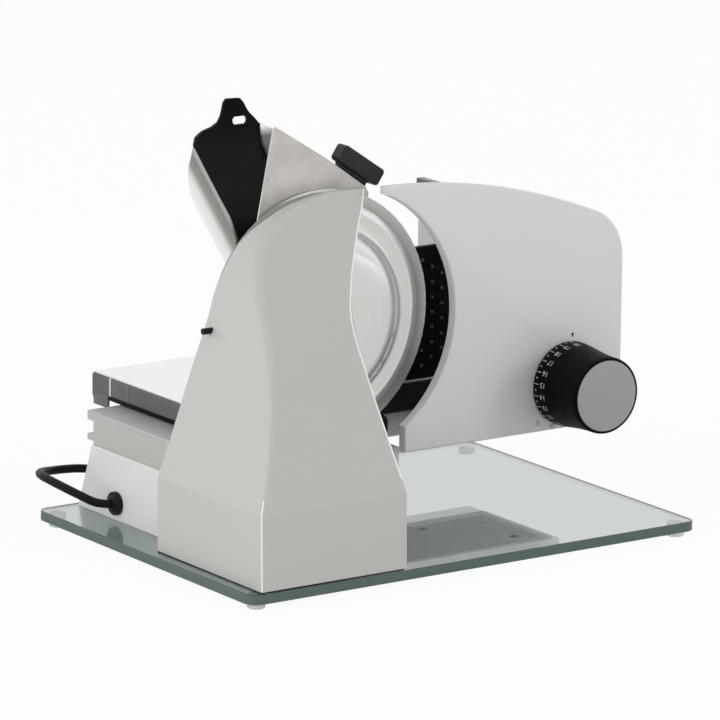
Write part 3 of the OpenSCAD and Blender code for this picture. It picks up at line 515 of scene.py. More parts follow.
def clear_glass(name, color):
    """Clear float glass with a green rim, darker beside the casing and the lower box as painted shade of the
    floor under the machine and a painted dark reflection of them.
    """
    finish = Finish(name, (0.8, 0.82, 0.815), 0.0, 0.0)
    finish.set("Transmission Weight", 1.0).set("IOR", 1.5)
    # The tint drops to a dark band beside the casing and the lower box: painted shade and a painted dark
    # reflection
    corner, painted_shade, clear = (0.5, 0.54, 0.53), (0.2, 0.25, 0.24), (0.56, 0.59, 0.585)
    finish.grade(finish.depth(mm(0, 248, 0), (0.858, -0.515, 0)), [
        (0, corner), (26, corner), (30, painted_shade), (180, painted_shade), (215, clear), (420, clear)],
        finish.noise(20, 2), 0.01)
    body = finish.node("ShaderNodeVolumeAbsorption", Color=(*color[:3], 1.0), Density=30.0)
    rim = finish.node("ShaderNodeBsdfPrincipled", Base_Color=(0.085, 0.125, 0.118, 1.0), Roughness=0.18)
    level = finish.math("ABSOLUTE", finish.along(finish.geometry("True Normal"), "Z"))
    upright = finish.math("LESS_THAN", level, 0.5)
    both = finish.node("ShaderNodeMixShader", upright, finish.shader.outputs[0], rim.outputs[0])
    output = finish.tree.nodes["Material Output"]
    finish.put(output.inputs["Surface"], both.outputs[0])
    finish.put(output.inputs["Volume"], body.outputs["Volume"])
    return finish.material


def clear_rubber(name):
    """Milky soft plastic of the feet."""
    finish = Finish(name, (0.86, 0.88, 0.87), 0.0, 0.22)
    finish.set("Transmission Weight", 0.55).set("IOR", 1.42)
    finish.vary_roughness(finish.noise(300), 0.06)
    return finish.bump(finish.noise(700, 2), 0.05).material


def soft_rubber(name, color, roughness):
    """Matt rubber or flexible cord jacket."""
    finish = Finish(name, color, 0.0, roughness).set("Specular IOR Level", 0.2)
    finish.vary_roughness(finish.noise(220), 0.08)
    finish.vary_color(finish.noise(60, 2), 0.15)
    return finish.bump(finish.noise(900, 3), 0.15).material


def laminated_iron(name, color):
    """Stacked iron sheets seen from their edges."""
    finish = Finish(name, color, 0.8, 0.5)
    return finish.marked(finish.noise(1.0, 2, (4, 1800, 4)), 0.12, 0.25, 0.3, 0.0001).material


def white_print(name):
    """White print on the dial."""
    finish = Finish(name, (0.62, 0.62, 0.6), 0.0, 0.5)
    return finish.vary_color(finish.noise(900, 2), 0.08).material


# Outward direction of the hood's sloping face
HOOD_OUT = Vector((0, -0.665, 0.746))
SMOKED = (0.105, 0.112, 0.112)
SMOKED_DARK = (0.012, 0.013, 0.013)
MADE = {}


def finishes():
    """All the finishes by slot or piece, made once."""
    if MADE:
        return MADE
    looks = bpy.context.scene.slicer_colours
    black = looks.black[:]
    table = (
        (satin_paint, "casing_paint", looks.casing),
        (clear_glass, "clear_glass", looks.glass),
        (clear_rubber, "clear_rubber"),
        # dark_steel is far lighter than the steel's own tone: painted light that makes up for the shade under
        # the machine
        (grained_metal, "dark_steel", (0.9, 0.91, 0.91), 0.55, 1800, 0.0),
        (rolled_metal, "zinc_steel", (0.6, 0.6, 0.6), (120, 120, 900), 0.34),
        (soft_rubber, "black_rubber", (0.007, 0.007, 0.007), 0.45),
        (grained_metal, "bronze", (0.55, 0.37, 0.18), 0.45),
        (spun_metal, "polished_steel", (0.7, 0.69, 0.67), 0.1),
        (ringed_steel, "blade_steel"),
        (cover_steel, "cover_steel"),
        (bright_return, "bright_return"),
        (edge_fold, "edge_fold"),
        (moulded_plastic, "knob_black", black, 0.45, 1500, 0.05),
        (moulded_plastic, "grip_black", (0.02, 0.02, 0.023), 0.42, 900, 0.3),
        # Casing paint lightened for the lower box: painted light that makes up for the shade under the rail
        (satin_paint, "box_paint", (0.7, 0.705, 0.68)),
        # Lighter paint of the strips that are painted highlights on the casing
        (satin_paint, "ridge_paint", (0.88, 0.885, 0.87)),
        (rolled_metal, "floor_steel", (0.85, 0.855, 0.855), (14, 900, 900), 0.3, 0.05, 0.02),
        (moulded_plastic, "hood_black", (0.004, 0.004, 0.004), 0.4, 1500, 0.08),
        (laminated_iron, "motor_iron", (0.2, 0.2, 0.21)),
        (grained_metal, "cap_metal", (0.5, 0.5, 0.51), 0.5),
        (moulded_plastic, "white_plastic", (0.74, 0.73, 0.68)),
        (moulded_plastic, "grey_plastic", (0.12, 0.12, 0.125)),
        (moulded_plastic, "black_plastic", black, 0.45, 1500, 0.08),
        (moulded_plastic, "red_plastic", (0.45, 0.03, 0.03), 0.35),
        (rolled_metal, "satin_aluminium", (0.53, 0.53, 0.51), (3, 2200, 2200), 0.42, 0.08, 0.06, 0.4),
        (grained_metal, "stop_aluminium", looks.stop, 0.5, 2600, 0.3),
        (rolled_metal, "brushed_steel", (0.66, 0.65, 0.63), (900, 900, 14), 0.3, 0.05, 0.02, 0.8),
        (moulded_plastic, "smoked_plastic", SMOKED, 0.2),
        (graded_plastic, "stud_black", (0, PRESS_FACE, 0), (0, -1, 0), [
            (-6, black), (0.8, black), (1.8, (0.08, 0.08, 0.08)), (3, (0.16, 0.16, 0.16))], 0.45, 0.08),
        # The skirt is lighter over the first 5 mm from the carriage's end and darker from 20 mm in
        (graded_plastic, "skirt_plastic", (CARRIAGE_END, 0, 0), (1, 0, 0), [
            (0, SMOKED), (5, SMOKED), (20, SMOKED_DARK), (200, SMOKED_DARK)], 0.2, 0.3),
        (white_print, "dial_print"),
        (grained_metal, "knob_end", (0.36, 0.375, 0.37), 0.45, 2600, 0.4),
    )
    for make, name, *values in table:
        MADE[name] = make(name, *values)
    return MADE


# Settings


class SLICER_PG_colours(bpy.types.PropertyGroup):
    """Colours of the finishes that a user would change."""

    casing: FloatVectorProperty(
        name="Casing", description="Paint of the casing",
        subtype="COLOR", size=3, min=0, max=1, default=(0.5, 0.505, 0.48))
    stop: FloatVectorProperty(
        name="Stop plate", description="Anodised stop plate",
        subtype="COLOR", size=3, min=0, max=1, default=(0.72, 0.72, 0.72))
    black: FloatVectorProperty(
        name="Black parts", description="Knob, studded plate and other black plastic",
        subtype="COLOR", size=3, min=0, max=1, default=(0.004, 0.004, 0.004))
    glass: FloatVectorProperty(
        name="Glass", description="Tint that shows along the edges of the glass",
        subtype="COLOR", size=3, min=0, max=1, default=(0.745, 0.81, 0.795))


class SLICER_PG_sizes(bpy.types.PropertyGroup):
    """Sizes of the details that a user would change."""

    tooth_depth: FloatProperty(
        name="Scallop depth", description="Depth of the scallops in the blade's edge",
        subtype="DISTANCE", unit="LENGTH", default=0.00015, min=0, max=0.003)
    teeth: IntProperty(
        name="Scallops", description="Scallops round the blade's edge",
        default=80, min=20, max=140)
    digit_height: FloatProperty(
        name="Digit height", description="Height of the numbers on the dial",
        subtype="DISTANCE", unit="LENGTH", default=0.0034, min=0.002, max=0.005)
    dial_last: IntProperty(
        name="Dial range", description="Last number on the dial",
        default=20, min=5, max=30)


# Pieces


CAMERA_PLACE = (-2.1812, -3.155, 1.0139)
CAMERA_TURN = (76.7174, -0.5706, -34.4489)
CAMERA_LENS = 312.05


class SLICER_OT_camera(bpy.types.Operator):
    """Camera at the viewing angle of the photograph"""

    bl_idname = "slicer.camera"
    bl_label = "Camera"

    def execute(self, context):
        bpy.ops.object.camera_add(location=CAMERA_PLACE, rotation=[math.radians(a) for a in CAMERA_TURN])
        camera = added("view_camera")
        camera.data.lens = CAMERA_LENS
        context.scene.camera = camera
        return {"FINISHED"}


LEAD = [
    GLAND, (12, 196, 14), (2, 200.5, 19.5), (-5, 209, 24), (-8, 220.5, 26.5), (-6, 232.5, 26.5),
    (1, 243, 25), (12, 249.5, 23), (24, 251.5, 22), (36, 250.5, 21), (47, 247, 19), (57, 242.5, 16),
    (67, 238, 12), (77, 234, 8.5), (89, 231, 6.6)]
HANK_RUN = 62
HANK_R = 29
HANK_PITCH = 6.2
HANK_LAYER = 6.6
HANK_TURNS = 4
HANK_STEPS = 24
TAIL_R = 19
TAIL_RISE = 4.5
TAIL_STEPS = 12
TAIL_ENDS = (8, 16, 24)


def ease(s):
    """A soft step from 0 to 1, for any value."""
    s = max(0, min(1, s))
    return s * s * (3 - 2 * s)


def loop_at(turn, r):
    """A place on a loop with two straight runs and two half circles."""
    quarter, s = divmod((turn % 1) * 4, 1)
    swing = math.pi * s
    return [(HANK_RUN * s, r), (HANK_RUN + r * math.sin(swing), r * math.cos(swing)),
            (HANK_RUN * (1 - s), -r), (-r * math.sin(swing), -r * math.cos(swing))][int(quarter)]


def hank_at(turn):
    """A place on the hank: the loops wind in, climb a layer, wind out and climb again."""
    r = HANK_R - HANK_PITCH * min(turn, HANK_TURNS - turn)
    layer = ease((turn - HANK_TURNS / 2 + 0.25) * 2) + ease((turn - HANK_TURNS + 0.5) * 4)
    x, y = loop_at(turn, r)
    start = LEAD[-1]
    return Vector((start[0] + x, start[1] - HANK_R + y, start[2] + HANK_LAYER * layer))


def cord_route():
    """The whole cord from the gland to the plug, in millimetres."""
    last = HANK_TURNS - 0.25
    route = [Vector(p) for p in LEAD]
    route += [hank_at(i / HANK_STEPS) for i in range(1, int(HANK_STEPS * last) + 1)]
    start = hank_at(last)
    for i in range(1, TAIL_STEPS + 1):
        s = i / TAIL_STEPS
        x, y = -TAIL_R * math.sin(math.pi * s), TAIL_R * (1 - math.cos(math.pi * s))
        route.append(start + Vector((x, y, TAIL_RISE * ease(s))))
    return route + [start + Vector((x, 2 * TAIL_R, TAIL_RISE)) for x in TAIL_ENDS]


class SLICER_OT_cord(bpy.types.Operator):
    """Mains cord from its gland round the lower box to the hank in the cord store"""

    bl_idname = "slicer.cord"
    bl_label = "Mains cord"

    def execute(self, context):
        route = [mm(*p) for p in cord_route()]
        curve = bpy.data.curves.new("mains_cord", "CURVE")
        curve.dimensions = "3D"
        curve.resolution_u = 4
        curve.bevel_depth = CORD_D / 2000
        curve.bevel_resolution = 4
        curve.use_fill_caps = True
        spline = curve.splines.new("BEZIER")
        spline.bezier_points.add(len(route) - 1)
        for point, place in zip(spline.bezier_points, route):
            point.co = place
            point.handle_left_type = "AUTO"
            point.handle_right_type = "AUTO"
        cord = bpy.data.objects.new("mains_cord", curve)
        context.collection.objects.link(cord)
        finish_piece(cord, "base_body", "black_rubber", "black_rubber", "cord_lead", "cord_hank")
        return {"FINISHED"}


# Rows of the casing: height, left side, ridge, near face, and the right side at the front
CASING_ROWS = [
    (1, 8, 115, 1, 115), (48, 8, 115, 2, 116), (82, 21, 108.5, 14, 140), (115, 33, 105, 30, 152),
    (145, 44.5, 109, 54, 151.5), (166, 51.7, 121, 73, 151.5), (190, 68.5, 140, 95, 155.5),
    (205, 94, 152, 107, 158.5), (211, 112.5, 156, 111.5, 160), (214, 131, 157.5, 114, 161)]
CASING_STEPS = 6
CASING_CORNER_STEPS = 8
CASING_CORNERS = (6, 1, 0.8, 0.8)
CASING_LOW_CORNER = 2.4
CORNER_GROWS = (60, 90)
CORNER_ROOM = 2.2
CASING_ROOF = 14
FRONT_INSET = 3
FOLD_EASE = 1.5
# Bores for the two buttons: depth and radius of each, and the side and height they share
BUTTON_BORES = ((52, 9.3), (76, 6.3))
BUTTON_SIDE = 115
BUTTON_H = 26
# Painted highlight lines, strips of lighter paint on the casing's ridge and a corner: column of the row they
# follow, corners about it, and the range of heights
PAINTED_HIGHLIGHT_LINES = {
    "casing_ridge": (2, ((-0.9, -0.1), (0.1, -0.1), (0.1, 0.7), (-0.9, 0.7)), 52, 215),
    "casing_corner_highlight": (1, ((0.35, 0.35), (0.95, 0.35), (0.95, 0.95), (0.35, 0.95)), 0, 60),
}


def casing_row(i, t):
    """A row between two given ones, on a smooth line through their neighbours too."""
    last = len(CASING_ROWS) - 1
    rows = [CASING_ROWS[k] for k in (max(i - 1, 1), i, i + 1, min(i + 2, last))]
    return [0.5 * (2 * q + (r - p) * t + (2 * p - 5 * q + 4 * r - s) * t * t
                   + (3 * q - p - 3 * r + s) * t ** 3) for p, q, r, s in zip(*rows)]


def casing_rows():
    """All rows of the casing, close together on both sides of the fold."""
    foot, fold = CASING_ROWS[0], CASING_ROWS[1]
    share = FOLD_EASE / (fold[0] - foot[0])
    rows = [foot, [f + (g - f) * (1 - share) for f, g in zip(foot, fold)]]
    for i in range(1, len(CASING_ROWS) - 1):
        for s in range(CASING_STEPS):
            rows.append(casing_row(i, s / CASING_STEPS))
            if i == 1 and s == 0:
                rows.append(casing_row(1, FOLD_EASE / (CASING_ROWS[2][0] - fold[0])))
    return rows + [CASING_ROWS[-1]]


def casing_ring(row, inset):
    """Corner points of one row, each corner rounded."""
    h, left, ridge, rear, front = row
    face = CASING_FRONT - (FRONT_INSET if inset else 0)
    corners = [Vector((left + inset, rear + inset)), Vector((ridge - inset, rear + inset)),
               Vector((front - inset, face)), Vector((left + inset, face))]
    room = min(face - rear - inset, ridge - left - 2 * inset) / CORNER_ROOM
    ring = []
    for i, corner in enumerate(corners):
        r = min(CASING_CORNERS[i], room)
        if i == 0:
            grown = ease((h - CORNER_GROWS[0]) / CORNER_GROWS[1])
            r = min(room, CASING_LOW_CORNER + (r - CASING_LOW_CORNER) * grown)
        before = (corners[i - 1] - corner).normalized() * r
        after = (corners[(i + 1) % 4] - corner).normalized() * r
        for s in range(CASING_CORNER_STEPS + 1):
            t = s / CASING_CORNER_STEPS
            p = corner + before * (1 - t) ** 2 + after * t ** 2
            ring.append(mm(p.x, p.y, h))
    return ring


class SLICER_OT_casing(bpy.types.Operator):
    """Tapered casing of the motor, a painted shell with a fold low down, with strips of lighter paint as
    painted highlights on its ridge and a corner
    """

    bl_idname = "slicer.casing"
    bl_label = "Motor casing"

    def execute(self, context):
        rows = casing_rows()
        inner = [casing_ring(r, CASING_WALL) for r in rows if r[0] < CASING_ROWS[-1][0] - CASING_ROOF]
        casing = lofted("casing_shell", inner[::-1] + [casing_ring(r, 0) for r in rows])
        for y, r in BUTTON_BORES:
            bore(casing, mm(BUTTON_SIDE, y, BUTTON_H), r, "X")
        smooth(casing, 28)
        finish_piece(casing, "base_body", "casing_paint", "casing_paint", "motor_casing")
        # Strips of lighter paint over the ridge and a corner: painted highlights
        for name, (side, corners, low, high) in PAINTED_HIGHLIGHT_LINES.items():
            strip = lofted(name, [[mm(r[side] + x, r[3] + y, r[0]) for x, y in corners]
                                  for r in rows if low < r[0] < high])
            smooth(strip)
            finish_piece(strip, "base_body", "casing_paint", "ridge_paint")
        return {"FINISHED"}


# Room in the scene between the glass and what touches it from below
FEET_SHARE = 0.97
BRACKET_DROP = 0.0002


class SLICER_OT_base(bpy.types.Operator):
    """Glass plate, its feet and the sheet bracket under it"""

    bl_idname = "slicer.base"
    bl_label = "Glass base"

    def execute(self, context):
        glass = dressed("glass_base", "glass_plate", 0.7, "base_body", "clear_glass", segments=2, crisp=15)
        glass.visible_shadow = False
        edit(dressed("feet", "clear_feet", 0.9, "base_body", "clear_rubber"), action="SELECT")
        bpy.ops.transform.resize(value=(1, 1, FEET_SHARE), center_override=(0, 0, 0))
        close()
        bracket = dressed("base_bracket", "under_bracket", 0.3, "base_body", "dark_steel", segments=2)
        edit(bracket, action="SELECT")
        bpy.ops.transform.translate(value=(0, 0, -BRACKET_DROP))
        close()
        return {"FINISHED"}


BLADE_PROFILE = [
    (5.05, 120), (30, 120.05), (40, 120.3), (46, 120.75), (50, 121.3), (53, 121.95),
    (55.5, 122.75), (57.5, 123.7), (59, 124.4), (60.3, 124.8), (61.5, 124.95), (62.5, 125),
    (69, 125), (69.8, 124.9), (70.6, 124.9), (71.4, 125), (73.6, 125.05), (75, 125.25),
    (78, 125.8), (80.5, 126.3), (82, 126.65), (81.7, 127), (61, 127), (59.2, 126.75),
    (57.6, 126.1), (54, 124.2), (50, 123.2), (44, 122.4), (36, 122.05), (5.05, 122), (5.05, 120)]
SCALLOP_WIDTH = 4.0
SCALLOP_STEPS = 8
SCALLOP_LIFT = 0.00003


class SLICER_OT_blade(bpy.types.Operator):
    """Dished blade with a scalloped edge"""

    bl_idname = "slicer.blade"
    bl_label = "Blade"

    def execute(self, context):
        sizes = context.scene.slicer_sizes
        blade = turned("scalloped_blade", BLADE_AXIS, BLADE_PROFILE, sizes.teeth * SCALLOP_STEPS)
        rim = (BLADE_R - SCALLOP_WIDTH) / 1000
        edit(blade)
        mesh = bmesh.from_edit_mesh(blade.data)
        for vertex in mesh.verts:
            x, z = vertex.co.x - BLADE_CENTRE.x, vertex.co.z - BLADE_CENTRE.z
            r = math.hypot(x, z)
            if r > rim:
                u = (math.atan2(z, x) / math.tau * sizes.teeth) % 1
                valley = 4 * u * (1 - u)
                reach = (r - rim) / (BLADE_R / 1000 - rim)
                k = 1 - sizes.tooth_depth * valley * reach / r
                vertex.co.x, vertex.co.z = BLADE_CENTRE.x + x * k, BLADE_CENTRE.z + z * k
                vertex.co.y += SCALLOP_LIFT * valley * reach
        bmesh.update_edit_mesh(blade.data)
        close()
        smooth(blade, 40)
        finish_piece(blade, "blade_body", "polished_steel", "blade_steel", "blade")
        return {"FINISHED"}


class SLICER_OT_cover(bpy.types.Operator):
    """Stainless sheet over the blade on the food side, with its grip"""

    bl_idname = "slicer.cover"
    bl_label = "Blade cover"

    def execute(self, context):
        dressed("blade_cover", "cover_sheet", 0.25, "base_body", "brushed_steel", "cover_steel", 2)
        dressed("cover_grip", "cover_handle", 1.2, "base_body", "black_plastic", "grip_black", 4)
        return {"FINISHED"}


# Halves of the stop plate: node, name, depth of the rounded rim and its radius
STOP_HALVES = (("stop_cover", "stop_back", PLATE_BACK, 1.4), ("stop_plate", "stop_face", PLATE_FACE, 0.7))
SPINDLE_BORE = 5.5
INDEX_MARK = ((310.2, 105.4), (312.2, 105.4), (311.2, 102.4))
INDEX_T = 0.00012


class SLICER_OT_stop(bpy.types.Operator):
    """Stop plate with rounded edges, and the index mark over the dial"""

    bl_idname = "slicer.stop"
    bl_label = "Stop plate"

    def execute(self, context):
        loop = outer_loop("stop_cover", mm(0, PLATE_BACK, 0).y)
        seam = mm(0, PLATE_SEAM, 0).y
        for node, name, depth, radius in STOP_HALVES:
            rim = mm(0, depth, 0).y
            piece = lofted(name, [[Vector((p.x, y, p.z)) for p in loop] for y in (rim, seam)])
            edit(piece, "EDGE")
            pick(piece, "EDGE", lambda e: all(abs(v.co.y - rim) < 10 * WELD for v in e.verts))
            bpy.ops.mesh.bevel(offset=radius / 1000, segments=ROUND_SEGMENTS, profile=0.5,
                               clamp_overlap=False)
            close()
            bore(piece, mm(KNOB_AXIS[0], PLATE_SEAM, KNOB_AXIS[1]), SPINDLE_BORE, "Y")
            smooth(piece)
            finish_piece(piece, "stop_body", "stop_aluminium", "stop_aluminium", node)
        mark = chain("index_mark", [mm(x, PLATE_BACK, h) for x, h in INDEX_MARK])
        edit(mark, action="SELECT")
        bpy.ops.mesh.edge_face_add()
        bpy.ops.mesh.extrude_region_move(TRANSFORM_OT_translate={"value": (0, -INDEX_T, 0)})
        close(outwards=True)
        finish_piece(mark, "stop_body", "black_plastic", "black_plastic")
        return {"FINISHED"}


KNOB_PROFILE = [
    (5.2, 0), (26.9, 0), (27.35, 0.2), (27.5, 0.7), (27.35, 4), (27.05, 8), (26.65, 12),
    (26.25, 15.5), (25.9, 18.5), (25.55, 22), (25.25, 26), (25.0, 30), (24.85, 34), (24.85, 37),
    (24.85, 39), (24.8, 40.2), (24.6, 41.2), (24.15, 41.8), (23.5, 42), (23.15, 41.9),
    (23.05, 41.6), (23.05, 40.8), (5.2, 40.8), (5.2, 35), (5.2, 0)]
KNOB_SIDE = KNOB_PROFILE[3:16]
KNOB_DISC = [(0, 40.8), (23.0, 40.8), (23.0, 41.6), (22.75, 41.85), (22.4, 41.9), (0, 41.9)]
KNOB_STEPS = 128
# Print of the dial: the step in degrees, then start, end and width of a line and of a dot between lines
DIAL_STEP = 16.5
TICK = (1.2, 5.0, 0.45)
DOT = (2.4, 3.3, 0.9)
DIGITS_START = 6.6
DIGIT_SIZE = 1.45
DIGIT_SPACE = 1.05
PRINT_T = 0.08
FLAT_T = 0.0001


def knob_radius(depth):
    """Radius of the knob's outside at a distance from its base."""
    for (r0, d0), (r1, d1) in zip(KNOB_SIDE, KNOB_SIDE[1:]):
        if d0 <= depth <= d1:
            return r0 + (r1 - r0) * (depth - d0) / (d1 - d0)
    return KNOB_SIDE[0][0]


def on_dial(turn, depth, rise):
    """A place over the knob's outside: an angle left of the top, a distance from the base, a rise."""
    r = knob_radius(depth) + rise
    return mm(KNOB_AXIS[0] - r * math.sin(turn), KNOB_BASE - depth, KNOB_AXIS[1] + r * math.cos(turn))


def wrap_on_dial(piece, turn):
    """Wraps a flat mesh round the dial: its x runs along the knob, its y round it, its z is the thickness."""
    for vertex in piece.data.vertices:
        depth = vertex.co.x * 1000
        rise = PRINT_T if vertex.co.z > 0 else -PRINT_T
        vertex.co = on_dial(turn + vertex.co.y * 1000 / knob_radius(depth), depth, rise)


class SLICER_OT_dial(bpy.types.Operator):
    """Dial knob with its scale and the disc in its end"""

    bl_idname = "slicer.dial"
    bl_label = "Dial knob"

    def execute(self, context):
        sizes = context.scene.slicer_sizes
        knob, disc = [turned(name, KNOB_AXIS, [(r, KNOB_BASE - d) for r, d in profile], KNOB_STEPS)
                      for name, profile in (("knob_body_black", KNOB_PROFILE), ("knob_disc", KNOB_DISC))]
        smooth(knob, 40)
        finish_piece(knob, "knob_body", "black_plastic", "knob_black", "dial_knob")
        smooth(disc)
        finish_piece(disc, "knob_body", "satin_aluminium", "knob_end", "knob_cap")
        prints = []
        for number in range(sizes.dial_last + 1):
            turn = math.radians((sizes.dial_last - number) * DIAL_STEP)
            prints.append(self.bar(turn, *TICK))
            if number < sizes.dial_last:
                prints.append(self.bar(turn - math.radians(DIAL_STEP / 2), *DOT))
            prints.append(self.digits(str(number), turn, sizes.digit_height))
        activate(prints[0])
        for piece in prints:
            piece.select_set(True)
        bpy.ops.object.join()
        scale = added("dial_scale")
        edit(scale)
        close(outwards=True)
        finish_piece(scale, "knob_body", "black_plastic", "dial_print")
        return {"FINISHED"}

    def bar(self, turn, start, end, width):
        """A tick or dot of the scale."""
        bpy.ops.mesh.primitive_cube_add(size=1)
        piece = bpy.context.object
        edit(piece, action="SELECT")
        size = ((end - start) / 1000, width / 1000, FLAT_T)
        bpy.ops.transform.resize(value=size, center_override=(0, 0, 0))
        bpy.ops.transform.translate(value=((start + end) / 2000, 0, 0))
        close()
        wrap_on_dial(piece, turn)
        return piece

    def digits(self, word, turn, height):
        """A number that reads towards the base of the knob."""
        bpy.ops.object.text_add()
        words = bpy.context.object.data
        words.body = word
        words.size = height * DIGIT_SIZE
        words.space_character = DIGIT_SPACE
        words.align_x = "RIGHT"
        words.align_y = "CENTER"
        words.extrude = FLAT_T
        words.resolution_u = 3
        bpy.ops.object.convert(target="MESH")
        piece = bpy.context.object
        for vertex in piece.data.vertices:
            vertex.co = (DIGITS_START / 1000 - vertex.co.x, vertex.co.y, vertex.co.z)
        wrap_on_dial(piece, turn)
        return piece


# Small blocks on the rail: near low corner, far high corner, radius, slot and finish
RAIL_BLOCKS = {
    "rail_bumper": ((175.8, 130.9, 45.7), (191.8, 141.9, 60.3), 4.2, "black_rubber", "black_rubber"),
    "rail_end_wing": ((29, 138, 43.3), (31.4, 142.3, 63.9), 0.3, "satin_aluminium", "satin_aluminium"),
    "rail_end_seam": ((28.85, 142.6, 61.6), (29.2, 225.4, 62), 0.05, "satin_aluminium", "zinc_steel"),
}


class SLICER_OT_rail(bpy.types.Operator):
    """Lower box, guide rail, buttons, seal, rivets and the cord's gland and plug"""

    bl_idname = "slicer.rail"
    bl_label = "Rail and lower box"

    def execute(self, context):
        # The lower box is in casing paint, lightened as painted light
        dressed("rail_support", "lower_box", 0.9, "base_body", "casing_paint", "box_paint")
        dressed("guide_rail", "rail_profile", 0.3, "base_body", "satin_aluminium")
        dressed("cord_gland", "gland_collar", 0.5, "base_body", "black_rubber")
        dressed("plug", "plug_body", 1.2, "base_body", "black_rubber")
        dressed("start_button", "start_cap", 0.6, "start_body", "black_plastic")
        dressed("lock_button", "lock_cap", 0.6, "lock_body", "red_plastic")
        dressed("base_gasket", "gasket_ring", 0.15, "base_body", "black_rubber")
        dressed("stop_rivets", "rivet_heads", 0.4, "stop_body", "satin_aluminium")
        for name, (low, high, radius, slot, look) in RAIL_BLOCKS.items():
            finish_piece(box(name, low, high, radius), "base_body", slot, look)
        return {"FINISHED"}


# Strips on the carriage's end: near and far depth, low and high, and the finish
END_STRIPS = {
    "end_light_gap": (243.2, 244.6, 67, 79, "white_plastic"),
    "end_rib": (221.6, 224.6, 67, 78.6, "grey_plastic"),
    # A black strip filling the gap between the skirt and the rail: painted shade
    "end_gap_shade": (137.2, 246, 64.5, 67.4, "black_plastic"),
    "end_corner": (246.2, 263.5, 59, 67, "smoked_plastic"),
}
STRIP_SIDES = (CARRIAGE_END - 0.3, CARRIAGE_END + 1)


class SLICER_OT_carriage(bpy.types.Operator):
    """Carriage with its floor, skirt and thumb guard"""

    bl_idname = "slicer.carriage"
    bl_label = "Carriage"

    def execute(self, context):
        dressed("carriage_frame", "carriage_skirt", 1.0, "carriage_body", "smoked_plastic", "skirt_plastic")
        dressed("carriage_floor", "floor_sheet", 0.3, "carriage_body", "brushed_steel", "floor_steel")
        dressed("thumb_guard", "guard_sheet", 0.3, "carriage_body", "brushed_steel")
        dressed("guard_edge", "guard_trim", 0.8, "carriage_body", "smoked_plastic")
        for name, (near, far, low, high, look) in END_STRIPS.items():
            strip = box(name, (STRIP_SIDES[0], near, low), (STRIP_SIDES[1], far, high), 0.1)
            finish_piece(strip, "carriage_body", "smoked_plastic", look)
        return {"FINISHED"}


HOOD_FOLD = [
    (138.5, 205, 241), (142.5, 202, 238.5), (148.5, 198, 235), (142.8, 192, 229.5),
    (134, 182.5, 221), (133, 186.5, 224.5), (133.5, 193, 230.5), (135.5, 198, 235)]
FOLD_RISE = (-1, 3)


class SLICER_OT_holder(bpy.types.Operator):
    """Remnant holder: studded plate, hood and its return, whose brightness is a painted reflection"""

    bl_idname = "slicer.holder"
    bl_label = "Remnant holder"

    def execute(self, context):
        dressed("pusher_plate", "studded_plate", 0.25, "pusher_body", "black_plastic", "stud_black", 2)
        dressed("pusher_hood", "hood_sheet", 0.5, "pusher_body", "black_plastic", "hood_black", 2)
        # The return's finish holds a painted reflection
        dressed("pusher_shell", "hood_return", 0.4, "pusher_body", "brushed_steel", "bright_return", 2)
        rises = [HOOD_OUT * rise / 1000 for rise in FOLD_RISE]
        fold = lofted("hood_far_fold", [[mm(*p) + rise for p in HOOD_FOLD] for rise in rises])
        smooth(fold)
        # The far fold's finish holds a painted reflection
        finish_piece(fold, "pusher_body", "brushed_steel", "edge_fold")
        return {"FINISHED"}


class SLICER_OT_solids(bpy.types.Operator):
    """Finishes on the solids that stay as they are"""

    bl_idname = "slicer.solids"
    bl_label = "Other solids"

    def execute(self, context):
        made = finishes()
        for part in frame["record"]["subparts"]:
            solid = frame["nodes"][part["node"]]
            solid.data.materials.clear()
            solid.data.materials.append(made[part["material_slot"]])
        return {"FINISHED"}


FLOOR_SIZE = 8.0
FLOOR_TONE = 0.9
FLOOR_GLOW = 0.94
# Tones that metal mirrors: a range along Y and the values at its ends
FLOOR_MIRRORED = (-0.3, 0.1, 0.75, 0.9)
SKY_MIRRORED = (0.4, -0.2, 0.75, 1.0)
# Light of the surroundings from the horizon up
SKY_LIGHT = (0.0, -0.8, 0.9, 0.5)
LAMP_AIM = Vector((0, 0, 0.1))
# Lamps: place and size in metres, power in watts, and whether metal mirrors the lamp
LAMPS = {
    "top_lamp": ((0.2, -0.3, 2.4), 2.4, 4.0, True),
    "left_lamp": ((-2.4, -0.3, 0.7), 1.6, 25.0, False),
    "right_lamp": ((1.9, -2.0, 0.7), 0.9, 17.0, False),
}
WHITE = (1, 1, 1, 1)


